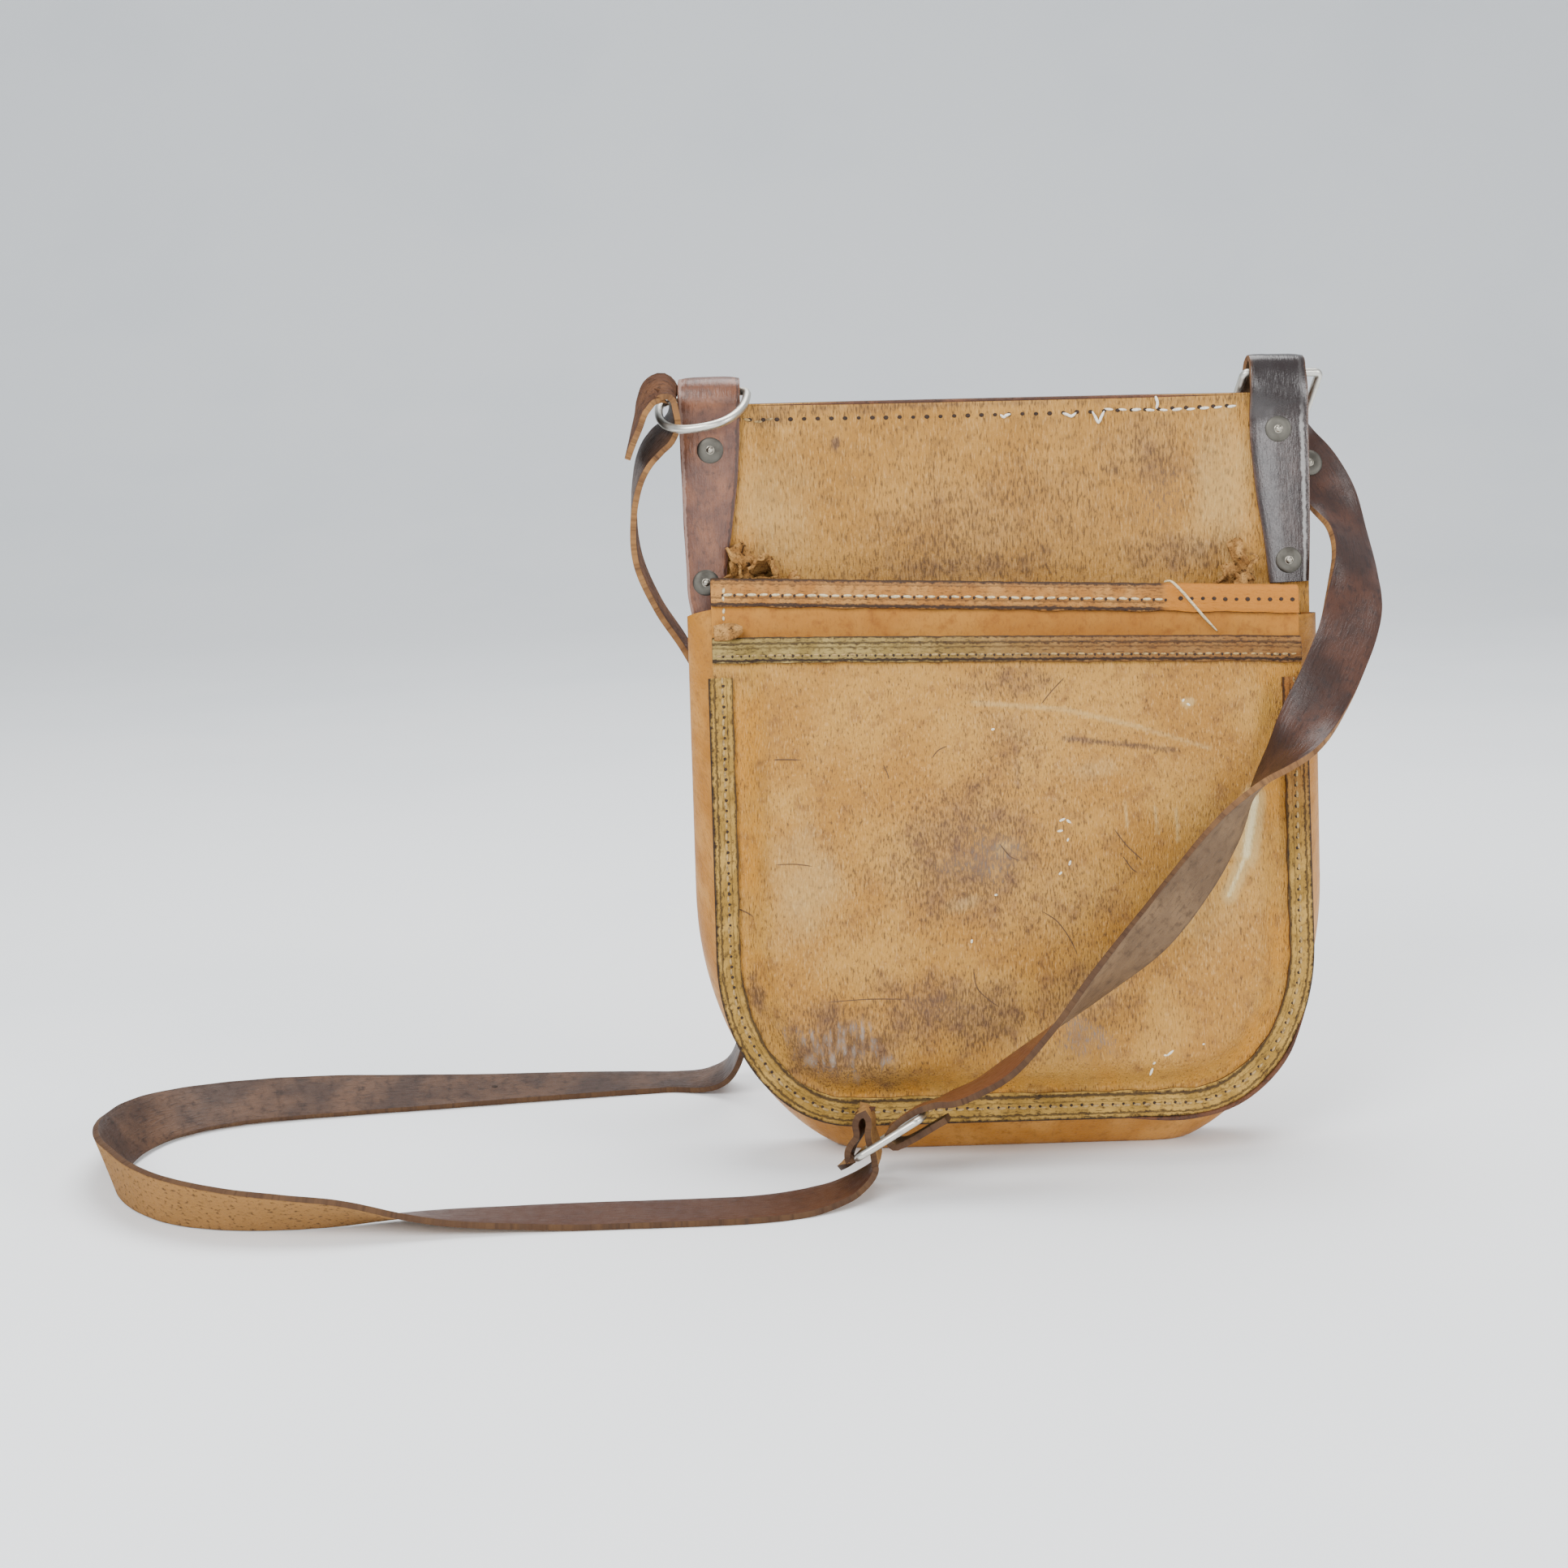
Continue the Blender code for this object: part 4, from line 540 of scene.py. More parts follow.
def u_outline(half, bottom, corner, top):
    """Points down the left side, round the bottom and up the right side; top is (left, right) height."""
    corner_x, corner_z = corner

    def flank(height):
        side = [(-half, z) for z in spread(height, bottom + corner_z, SIDE_STEPS)[:-1]]
        return side + [(corner_x * (1.0 - math.cos(angle)) - half, bottom + corner_z * (1.0 - math.sin(angle)))
                       for angle in spread(0.0, 0.5 * math.pi, TURN_STEPS)[:-1]]

    base = [((corner_x - half) * (1.0 - 2.0 * step / BASE_STEPS), bottom) for step in range(BASE_STEPS + 1)]
    return flank(top[0]) + base + [(-x, z) for x, z in reversed(flank(top[1]))]


def seam_outline(inset, top):
    """The sewn U edge of the front, moved inwards."""
    corner = (SEAM_CORNER[0] - inset, SEAM_CORNER[1] - inset)
    return u_outline(SEAM_HALF - inset, SEAM_BOTTOM + inset, corner, top)


def outward_normals(points):
    """Unit directions out of a U outline, one for each of its points."""
    normals = []
    for i in range(len(points)):
        before = points[max(i - 1, 0)]
        after = points[min(i + 1, len(points) - 1)]
        along = Vector((after[0] - before[0], after[1] - before[1])).normalized()
        normals.append((along.y, -along.x))
    return normals


def edge_distance(x, z):
    """Rough distance inwards from the sewn U edge."""
    corner_x, corner_z = SEAM_CORNER
    over_x = abs(x) - (SEAM_HALF - corner_x)
    under_z = SEAM_BOTTOM + corner_z - z
    if over_x > 0.0 and under_z > 0.0:
        reach = math.hypot(over_x / corner_x, under_z / corner_z)
        slope = math.hypot(over_x / corner_x ** 2, under_z / corner_z ** 2)
        return (1.0 - reach) * reach / slope
    return min(SEAM_HALF - abs(x), z - SEAM_BOTTOM)


def front_rise(x, z):
    """How far the moulded front stands out from its flat border."""
    flange = FLANGE_WIDTH + BOTTOM_FLANGE_EXTRA * smooth_step((SEAM_BOTTOM + BORDER_FROM - z) / BORDER_OVER)
    inside = edge_distance(x, z) - flange
    shoulder = SHOULDER_RISE * smooth_step(inside / SHOULDER_RUN)
    across = max(0.0, 1.0 - (x / (SEAM_HALF - FLANGE_WIDTH)) ** 2)
    height = (z - CROWN_HEIGHT) / (CROWN_HEIGHT if z < CROWN_HEIGHT else 1.9 * CROWN_HEIGHT)
    dome = CROWN * across * max(0.0, 1.0 - height * height) * smooth_step(inside / (0.6 * SHOULDER_RUN))
    mouth = 1.0 - (1.0 - MOUTH_RISE) * smooth_step((z - MOUTH_FROM) / MOUTH_OVER)
    return (shoulder + dome) * mouth


def slanted_top(top, x):
    """Height of a mouth that slants from the left edge to the right one."""
    return top[0] + (top[1] - top[0]) * (x + SEAM_HALF) / (2.0 * SEAM_HALF)


def outline_half(z, half, bottom, corner):
    """Half width of a U outline at a height."""
    below = (bottom + corner[1] - z) / corner[1]
    if below <= 0.0:
        return half
    return half - corner[0] * (1.0 - math.sqrt(max(0.0, 1.0 - min(below, 1.0) ** 2)))


def sewn_half(z):
    """Half width of the walls that are sewn into the binding."""
    corner = (SEAM_CORNER[0] - LAYER_INSET, SEAM_CORNER[1] - LAYER_INSET)
    return outline_half(z, SEAM_HALF - LAYER_INSET, SEAM_BOTTOM + LAYER_INSET, corner)


def scuffs_and_sheen(x, z, spots, lines):
    """Dark, pale and grey strength of the painted marks at a place."""
    found = {"dark": 0.0, "pale": 0.0, "grey": 0.0}
    for kind, at_x, at_z, wide, tall, turn, strength in spots:
        cos, sin = math.cos(math.radians(turn)), math.sin(math.radians(turn))
        u = ((x - at_x) * cos + (z - at_z) * sin) / wide
        v = ((z - at_z) * cos - (x - at_x) * sin) / tall
        reach = math.hypot(u, v)
        if reach < 1.4:
            reach += 0.3 * wave(x, z, 0.45 * min(wide, tall) + 1.0, at_x)
            if kind == "creased":
                kind, strength = "grey", strength * max(0.0, 0.7 + 0.9 * wave(x, z * 0.25, 1.7, 4.0))
            found[kind] = max(found[kind], strength * smooth_step(1.15 - reach))
    for kind, x0, z0, x1, z1, wide, strength in lines:
        run = Vector((x1 - x0, z1 - z0))
        share = min(max(Vector((x - x0, z - z0)).dot(run) / run.length_squared, 0.0), 1.0)
        away = (Vector((x, z)) - Vector((x0, z0)) - run * share).length
        found[kind] = max(found[kind], strength * (1.0 - away / wide))
    return found["dark"], found["pale"], found["grey"]


def front_marks(x, z):
    """Painted scuffs of the pocket wall, a painted sheen highlight on its left, and its clean border."""
    border = 1.0 - smooth_step((edge_distance(x, z) - 13.0 + 4.0 * wave(x, z, 14.0, 8.0)) / 11.0)
    return scuffs_and_sheen(x, z, FRONT_SPOTS, FRONT_LINES) + (border,)


def back_marks(x, z):
    """Painted scuffs of the back panel and its cleaner strips beside the tabs."""
    strips = smooth_step((abs(x) - 84.0 + 8.0 * wave(x, z, 20.0, 9.0)) / 14.0)
    return scuffs_and_sheen(x, z, BACK_SPOTS, BACK_LINES) + (strips,)


def spline_point(stations, index, share):
    """Point of a smooth curve through stations, eased by the distances between them."""
    last = len(stations) - 1
    picked = [stations[min(max(index + k, 0), last)] for k in (-1, 0, 1, 2)]
    knots = [0.0]
    for a, b in zip(picked, picked[1:]):
        knots.append(knots[-1] + max(math.sqrt(math.dist(a[:3], b[:3])), 0.01))
    t = knots[1] + (knots[2] - knots[1]) * share
    level = picked
    for order in range(1, 4):
        mixed = []
        for k in range(4 - order):
            low, high = (knots[1], knots[2]) if order == 3 else (knots[k], knots[k + order])
            part = (t - low) / (high - low)
            mixed.append(tuple(a + (b - a) * part for a, b in zip(level[k], level[k + 1])))
        level = mixed
    return level[0]


def route_samples(route, step):
    """Evenly close samples along a route of stations."""
    samples = []
    for index in range(len(route) - 1):
        count = max(2, math.ceil(math.dist(route[index][:3], route[index + 1][:3]) / step))
        for k in range(count):
            samples.append(spline_point(route, index, k / count))
    samples.append(route[-1])
    return samples


def carried(table):
    """Rows with the last columns that they leave out taken over from the row before."""
    full = []
    for row in table:
        full.append(row + full[-1][len(row):] if full else row)
    return full


def tab_station(x, y, z, half, turn=0.0):
    """A tab's row in a strap's columns."""
    return x, y, z, 1.0, turn, 0.0, half


def strap_axes(stations, i):
    """Direction along a strap at a station, and its width square to that."""
    before = Vector(stations[max(i - 1, 0)][:3])
    after = Vector(stations[min(i + 1, len(stations) - 1)][:3])
    along = (after - before).normalized()
    width = Vector(stations[i][3:6])
    return along, (width - along * width.dot(along)).normalized()


def ribbon_rows(place, samples, across=7, crown=0.0):
    """World points across a strap at each sample of x, y, z, width direction and half width."""
    rows = []
    for i, sample in enumerate(samples):
        along, width = strap_axes(samples, i)
        centre = Vector(sample[:3])
        row = []
        for k in range(across):
            side = 2.0 * k / (across - 1) - 1.0
            ragged = 1.0 + 0.014 * wave(i * 1.3, side * 40.0, 9.0, 3.0)
            point = centre + width * side * sample[6] * ragged
            row.append(place @ (point + width.cross(along) * crown * (1.0 - side ** 4)))
        rows.append(row)
    return rows


def fold_section(front, back, reach):
    """A hem folded over a leather edge: (height over that edge, depth from the leather's middle)."""
    points = [(-front * (1.0 - k / 6.0), -reach) for k in range(6)]
    for step in range(9 if back else 5):
        angle = math.pi * step / 8.0
        points.append((reach * math.sin(angle), -reach * math.cos(angle)))
    points += [(-back * k / 3.0, reach) for k in (1, 2, 3)] if back else [(reach, 0.8)]
    return points


def spaced(points, pitch):
    """Points at an even pitch along a line of world points, with its direction there."""
    found = []
    left = 0.0
    for a, b in zip(points, points[1:]):
        run = b - a
        while left < run.length:
            found.append((a + run * (left / run.length), run.normalized()))
            left += pitch
        left -= run.length
    return found


def row_of(name, points, outward, pitch, size, look, seed, sway=0.12):
    """A row of small rounded bodies along a line: thread stitches, or the painted shade that fills needle holes.
    """
    chance = random.Random(seed)
    bm = bmesh.new()
    for spot, along in spaced(points, pitch * MM):
        up = outward.normalized()
        across = up.cross(along).normalized()
        twist = Matrix.Rotation(chance.uniform(-sway, sway), 3, up)
        turned = twist @ Matrix((along, across, up)).transposed()
        shrink = chance.uniform(0.85, 1.1)
        sizes = Matrix.Diagonal(Vector(size) * (0.5 * MM) * shrink)
        shift = across * chance.uniform(-1.0, 1.0) * 0.0001
        matrix = Matrix.Translation(spot + shift) @ (turned @ sizes).to_4x4()
        bmesh.ops.create_uvsphere(bm, u_segments=8, v_segments=6, radius=1.0, matrix=matrix)
    bmesh.ops.recalc_face_normals(bm, faces=bm.faces)
    add(name, mesh_from(bm, name), [look])


def wire_mesh(name, points, radii, closed=False):
    """Round wire or thread through world points, in metres."""
    curve = bpy.data.curves.new(name, "CURVE")
    curve.dimensions = "3D"
    curve.bevel_depth = 1.0
    curve.bevel_resolution = 6 if closed else 2
    curve.use_fill_caps = not closed
    spline = curve.splines.new("POLY")
    spline.points.add(len(points) - 1)
    for knot, point, radius in zip(spline.points, points, radii):
        knot.co = tuple(point) + (1.0,)
        knot.radius = radius
    spline.use_cyclic_u = closed
    holder = bpy.data.objects.new(name + "_route", curve)
    bpy.context.scene.collection.objects.link(holder)
    graph = bpy.context.evaluated_depsgraph_get()
    mesh = bpy.data.meshes.new_from_object(holder.evaluated_get(graph))
    bpy.data.objects.remove(holder, do_unlink=True)
    bm = bmesh.new()
    bm.from_mesh(mesh)
    bmesh.ops.remove_doubles(bm, verts=bm.verts, dist=0.000002)
    bmesh.ops.recalc_face_normals(bm, faces=bm.faces)
    bm.to_mesh(mesh)
    bm.free()
    return mesh


def strand(name, place, stations, radius, look, tip=0.5):
    """A thread or a line of dirt through stations, thinner at its ends."""
    samples = route_samples([tuple(s) + (1.0,) for s in stations], 0.8)
    points = [place @ Vector(sample[:3]) for sample in samples]
    radii = [radius * MM * (1.0 - tip * smooth_step(abs(2.0 * i / (len(samples) - 1) - 1.0) * 2.0 - 1.0))
             for i in range(len(samples))]
    add(name, wire_mesh(name, points, radii), [look])


def dee_points(half, depth):
    """A D: a straight bar along the top and a full curve below it."""
    points = [((half - 4.0) * (k / 6.0 - 1.0), 0.0) for k in range(13)]
    points += [(half - 2.4, -0.25), (half - 1.2, -1.0), (half - 0.4, -2.2)]
    for step in range(49):
        angle = math.pi * step / 48.0
        x = half * math.copysign(abs(math.cos(angle)) ** 0.8, math.cos(angle))
        points.append((x, -4.0 - (depth - 4.0) * math.sin(angle) ** 0.9))
    return points + [(0.4 - half, -2.2), (1.2 - half, -1.0), (2.4 - half, -0.25)]


def frame_points(wide, tall, corner):
    """A rectangle with rounded corners, centred."""
    points = []
    for quarter in range(4):
        sign_x = 1.0 if quarter in (0, 3) else -1.0
        sign_z = 1.0 if quarter in (0, 1) else -1.0
        centre = (sign_x * (0.5 * wide - corner), sign_z * (0.5 * tall - corner))
        for step in range(9):
            angle = 0.5 * math.pi * (quarter + step / 8.0)
            points.append((centre[0] + corner * math.cos(angle), centre[1] + corner * math.sin(angle)))
    return points


def crumple(name, place, centre, size, turn, seed, look):
    """A torn scrap: a small sheet shrunk into folds, with a ragged outline."""
    turned = Matrix.Rotation(math.radians(turn), 3, "Y") @ Matrix.Rotation(math.radians(25.0 * seed), 3, "Z")
    rows = []
    for i in range(15):
        row = []
        for k in range(15):
            u, v = k / 7.0 - 1.0, i / 7.0 - 1.0
            ragged = 1.0 + 0.3 * wave(u * 9.0, v * 9.0, 3.0, seed)
            flat = Vector((u * size[0] * 0.5, 0.0, v * size[1] * 0.5)) * ragged
            folds = Vector([noise.noise(flat / 4.0 + Vector((seed * 3.7, 31.7 * axis, 0.0))) for axis in range(3)])
            row.append(place @ (Vector(centre) + turned @ (flat + Vector((1.2, 3.4, 1.2)) * folds)))
        rows.append(row)
    sheet(name, rows, 0.0011, [look, look, look], rounding=0.0002, even=False)


def rivet(name, place, length, looks):
    """A tubular rivet: sunk flat head, bright raised middle, shank and tail washer, turned about its axis."""
    profile = ((0.0, 1.75), (0.6, 1.72), (1.05, 1.5), (1.3, 1.0), (1.6, 0.82), (2.0, 0.92), (3.3, 1.0),
               (4.2, 0.86), (4.8, 0.58), (5.15, 0.2), (5.2, 0.0), (1.8, 0.0), (1.8, -length), (4.0, -length),
               (3.9, -length - 0.6), (3.5, -length - 0.9), (0.0, -length - 0.9))
    bm = bmesh.new()
    verts = [bm.verts.new((x, 0.0, z)) for x, z in profile]
    edges = [bm.edges.new(pair) for pair in zip(verts, verts[1:])]
    bmesh.ops.spin(bm, geom=verts + edges, cent=(0.0, 0.0, 0.0), axis=(0.0, 0.0, 1.0), dvec=(0.0, 0.0, 0.0),
                   angle=2.0 * math.pi, steps=36, use_merge=True, use_duplicate=False)
    bmesh.ops.remove_doubles(bm, verts=bm.verts, dist=0.001)
    bmesh.ops.recalc_face_normals(bm, faces=bm.faces)
    for face in bm.faces:
        middle = face.calc_center_median()
        face.material_index = 1 if middle.z > 0.9 and math.hypot(middle.x, middle.y) < 1.5 else 0
    bm.transform(place)
    soften(add(name + "_turned", mesh_from(bm, name + "_turned"), looks, (name,)), 0.0001, 1)


def wall_rows(place, low, top, half_at, depth_at, across, up):
    """Outer face of a wall from its low edge to its slanted mouth, and its places in millimetres."""
    rows, flow = [], []
    for i in range(up + 1):
        share = (i / up) ** 1.25
        row, places = [], []
        for k in range(across + 1):
            column = 2.0 * k / across - 1.0
            column = math.copysign(abs(column) ** 0.9, column)
            z = low + (slanted_top(top, column * SEAM_HALF) - low) * share
            x = column * half_at(z)
            row.append(place @ Vector((x, depth_at(x, z), z)))
            places.append((x, z, 0.0))
        rows.append(row)
        flow.append(places)
    return rows, flow


def front_depth(x, z):
    """Depth of the pocket wall's outer face, with the slack of old leather and the creases at its lower left."""
    inside = smooth_step((edge_distance(x, z) - 14.0) / 12.0)
    wrinkle = 0.0
    reach = math.hypot((x + 68.0) / 30.0, (z - 42.0) / 22.0)
    if reach < 1.0:
        wrinkle = 0.55 * wave(x, z * 0.3, 2.2, 6.0) * smooth_step(1.6 - 1.6 * reach)
    return -FLANGE_FRONT - front_rise(x, z) - inside * (0.45 * wave(x, z, 34.0, 5.0) + wrinkle)


def gusset_rows():
    """Outer face of the main gusset, one row for each point round the U, flat where it rests."""
    front_line = seam_outline(GUSSET_FRONT_INSET, GUSSET_FRONT_TOP)
    corner = (BACK_CORNER[0] - GUSSET_INSET, BACK_CORNER[1] - GUSSET_INSET)
    back_line = u_outline(BACK_HALF - GUSSET_INSET, BACK_BOTTOM + GUSSET_INSET, corner, GUSSET_BACK_TOP)
    rows = []
    for (fx, fz), (bx, bz), (nx, nz) in zip(front_line, back_line, outward_normals(back_line)):
        start = FRONT @ Vector((fx, GUSSET_GAP, fz))
        end = BACK @ Vector((bx, -GUSSET_GAP, bz))
        out = BACK.to_3x3() @ Vector((nx, 0.0, nz))
        bulge = GUSSET_BULGE + BOTTOM_BULGE * max(0.0, -nz) ** 4
        row = []
        for k in range(28):
            at = k / 27.0 * (len(GUSSET_SECTION) - 1)
            index = min(int(at), len(GUSSET_SECTION) - 2)
            share, depth = spline_point(GUSSET_SECTION, index, at - index)
            point = start.lerp(end, depth) + out * bulge * share
            point.z = max(point.z, 0.0)
            row.append(point)
        rows.append(row)
    return rows


def binding_rows():
    """Middle of the binding: wavering inner edge, round the outer edge, and the short lip behind."""
    front = -FLANGE_FRONT - BINDING_GAP - BINDING_HALF
    line = seam_outline(0.0, BINDING_TOP)
    rows, flow = [], []
    along = 0.0
    for i, ((x, z), (nx, nz)) in enumerate(zip(line, outward_normals(line))):
        if i:
            along += math.dist(line[i - 1], line[i])
        wide = BINDING_WIDTH + BOTTOM_FLANGE_EXTRA * max(0.0, -nz) ** 2 + 0.7 * wave(x, z, 9.0, 2.0)
        lift = 0.35 * max(0.0, wave(x, z, 6.0, 3.0))
        section = [(-wide * (1.0 - k / 6.0) - BINDING_FLAT * k / 6.0, front - lift * (1.0 - k / 6.0))
                   for k in range(6)]
        section += [(-BINDING_FLAT, front), (-1.1, front + 0.12), (-BINDING_HALF, front + 0.5),
                    (-BINDING_HALF, -0.1), (-1.2, BINDING_REAR), (-BINDING_LIP, BINDING_REAR)]
        rows.append([FRONT @ Vector((x + nx * out, depth, z + nz * out)) for out, depth in section])
        flow.append([(out + depth - front, along, 0.0) for out, depth in section])
    return rows, flow


def fold_rows(top, front, back, seed):
    """A hem along a slanted mouth: the rim of the middle panel, or the front pocket's with its crown."""
    rows, flow = [], []
    half = SEAM_HALF - LAYER_INSET
    for x in spread(-half, half, 170):
        edge = slanted_top(top, x)
        sway = 0.55 * wave(x, 0.0, 11.0, seed) + 0.25 * wave(x, 0.0, 3.0, seed + 1.0)
        row, places = [], []
        for up, depth in fold_section(front + sway, back, 2.05):
            y = -1.0 + depth if back else 1.0 - FLANGE_FRONT - front_rise(x, min(edge + up, edge)) + depth
            worn = 0.3 * wave(x, up, 4.0, seed + 2.0) if up > 0.0 else 0.0
            row.append(FRONT @ Vector((x, y, edge + up - abs(worn))))
            places.append((up + 0.3 * depth, x, 0.0))
        rows.append(row)
        flow.append(places)
    return rows, flow


def on_front(points, depth):
    """World points on the front frame at one depth, or on the hem's crown."""
    return [FRONT @ Vector((x, depth(x, z) if callable(depth) else depth, z)) for x, z in points]


def top_row(x0, x1):
    """Line of the back panel's top row of stitches, which sags in the middle."""
    return [BACK @ Vector((x, -0.06, 278.9 - 0.9 * math.sin(math.pi * k / 8.0)))
            for k, x in enumerate(spread(x0, x1, 8))]


def rim_row(x0, x1, under):
    """Line along the middle panel's hem, a wandering distance under its edge."""
    return on_front([(x, slanted_top(MIDDLE_TOP, x) - under + 0.25 * wave(x, 0.0, 9.0, 1.0))
                     for x in spread(x0, x1, 20)], RIM_FACE - SUNK)


def hem_row(x0, x1, under):
    """Line along the front pocket's hem, under its edge and out with its crown."""
    return on_front([(x, slanted_top(FRONT_TOP, x) - under) for x in spread(x0, x1, 40)],
                    lambda x, z: HEM_FACE - front_rise(x, z) - SUNK)


def seam_row(inset, short):
    """Line round the binding, inwards from the sewn edge and short of its ends."""
    return on_front(seam_outline(inset, (BINDING_TOP[0] - short, BINDING_TOP[1] - short)), BINDING_FACE - SUNK)


class SATCHEL_OT_panels(bpy.types.Operator):
    """Back, middle and front panels and the gusset between them"""
    bl_idname = "satchel.panels"
    bl_label = "Panels"

    def execute(self, context):
        sizes = context.scene.satchel_sizes
        edge = leather("wall_cut_edge", "cut_edge", follow=True)
        dark_edge = leather("back_cut_edge", "dark_edge", follow=True)
        flesh = leather("wall_flesh", "middle_panel")
        rows, flow = wall_rows(BACK, BACK_BOTTOM, BACK_TOP,
                               lambda z: outline_half(z, BACK_HALF, BACK_BOTTOM, BACK_CORNER),
                               lambda x, z: 0.0, across=150, up=170)
        hide = leather("back_hide", "back_panel", marks=True)
        sheet("back_wall", rows, sizes.back, [hide, flesh, dark_edge], -1.0, ("back_panel",), flow,
              back_marks, 0.0008)
        low = SEAM_BOTTOM + LAYER_INSET
        rows, flow = wall_rows(FRONT, low, MIDDLE_TOP, sewn_half, lambda x, z: MIDDLE_FACE, across=90, up=80)
        hide = leather("middle_hide", "middle_panel")
        sheet("middle_wall", rows, sizes.wall, [hide, flesh, edge], -1.0, ("middle_panel",), flow)
        rows, flow = wall_rows(FRONT, low, FRONT_TOP, sewn_half, front_depth, across=220, up=180)
        hide = leather("pocket_hide", "front_panel", marks=True)
        sheet("pocket_wall", rows, sizes.wall, [hide, flesh, edge], -1.0, ("front_panel",), flow,
              front_marks)
        hide = leather("gusset_hide", "main_gusset", follow=True)
        sheet("gusset", gusset_rows(), sizes.wall, [hide, flesh, edge], -1.0, ("main_gusset",))
        return {"FINISHED"}


class SATCHEL_OT_hems(bpy.types.Operator):
    """Folded hems of both mouths and the binding of the U edge"""
    bl_idname = "satchel.hems"
    bl_label = "Hems and binding"

    def execute(self, context):
        thick = context.scene.satchel_sizes.binding
        edge = leather("hem_cut_edge", "dark_edge", follow=True)
        for name, node_name, (rows, flow) in (
            ("mouth_rim", "rim_binding", fold_rows(MIDDLE_TOP, RIM_FRONT, RIM_BACK, 4.0)),
            ("pocket_hem", "front_hem", fold_rows(FRONT_TOP, HEM_FRONT, 0.0, 7.0)),
            ("edge_strip", "edge_binding", binding_rows()),
        ):
            hide = leather(name + "_hide", node_name, follow=True)
            sheet(name, rows, thick, [hide, hide, edge], 0.0, (node_name,), flow, rounding=0.0004)
        return {"FINISHED"}


class SATCHEL_OT_straps(bpy.types.Operator):
    """Ring tabs and the two parts of the shoulder strap"""
    bl_idname = "satchel.straps"
    bl_label = "Tabs and strap"

    def execute(self, context):
        sizes = context.scene.satchel_sizes
        edge = leather("strap_cut_edge", "strap_edge", follow=True)
        tab_edge = leather("tab_cut_edge", "cut_edge", follow=True)
        suede = leather("strap_suede", "strap_suede", follow=True)
        flesh = leather("strap_flesh", "strap_flesh", follow=True)
        long_grain = leather("strap_long_grain", "strap_long", follow=True)
        short_grain = leather("strap_short_grain", "strap_short", follow=True)
        for name, route in (("tab_left", TAB_LEFT_ROUTE), ("tab_right", TAB_RIGHT_ROUTE)):
            rows = ribbon_rows(BACK, route_samples([tab_station(*row) for row in route], TAB_STEP), 9, TAB_CROWN)
            grain = leather(name + "_grain", name, follow=True)
            sheet(name + "_leather", rows, sizes.tab, [grain, flesh, tab_edge], 0.0, (name,),
                  measured(rows, TAB_HALF))
        for name, route, sides in (("strap_long", STRAP_LONG_ROUTE, [long_grain, suede, edge]),
                                   ("strap_short", STRAP_SHORT_ROUTE, [flesh, short_grain, edge])):
            rows = ribbon_rows(FOOT, route_samples(carried(route), STRAP_STEP))
            sheet(name + "_leather", rows, sizes.strap, sides, 0.0, (name,))
        return {"FINISHED"}


class SATCHEL_OT_metal(bpy.types.Operator):
    """Rings and rivets"""
    bl_idname = "satchel.metal"
    bl_label = "Rings and rivets"

    def execute(self, context):
        colours = context.scene.satchel_colours
        ring = metal("ring_nickel_plate", colours.nickel, 0.28, "A8A49A", 0.0003)
        for name, place, spot, turn, line, wire in (
            ("ring_left", BACK, (-111.3, 1.0, 288.2), (-62.0, -6.5, -6.0), dee_points(17.0, 29.0), 1.6),
            ("ring_right", BACK, (108.2, 8.9, 283.6), (42.0, 0.0, 13.0), frame_points(31.0, 20.0, 2.0), 1.6),
            ("ring_strap", FOOT, (-49.5, -58.6, 21.5), (-106.0, -31.5, 0.0), frame_points(27.0, 28.0, 3.0), 1.4),
        ):
            turned = Euler([math.radians(angle) for angle in turn]).to_matrix().to_4x4()
            points = [place @ Matrix.Translation(spot) @ turned @ Vector((x, 0.0, z)) for x, z in line]
            mesh = wire_mesh(name + "_wire", points, [wire * MM] * len(points), True)
            add(name + "_wire", mesh, [ring], (name,))
        looks = [metal("rivet_dull_steel", colours.rivet, 0.46, "3E3A34", 0.01),
                 metal("rivet_rubbed_steel", linear("A39D90"), 0.26, "6A655A", 0.01)]
        for name, x, z, length in TAB_RIVETS:
            place = BACK @ Matrix.Translation((x, TAB_FACE, z)) @ Matrix.Rotation(0.5 * math.pi, 4, "X")
            rivet(name, place, length, looks)
        route = carried(STRAP_SHORT_ROUTE)
        along, width = strap_axes(route, STRAP_RIVET_STATION)
        turned = Matrix((width, -along, along.cross(width))).transposed().to_4x4()
        turned.translation = Vector(route[STRAP_RIVET_STATION][:3])
        rivet("rivet_strap", FOOT @ turned @ Matrix.Translation((0.0, 0.0, STRAP_FACE)), 5.5, looks)
        return {"FINISHED"}


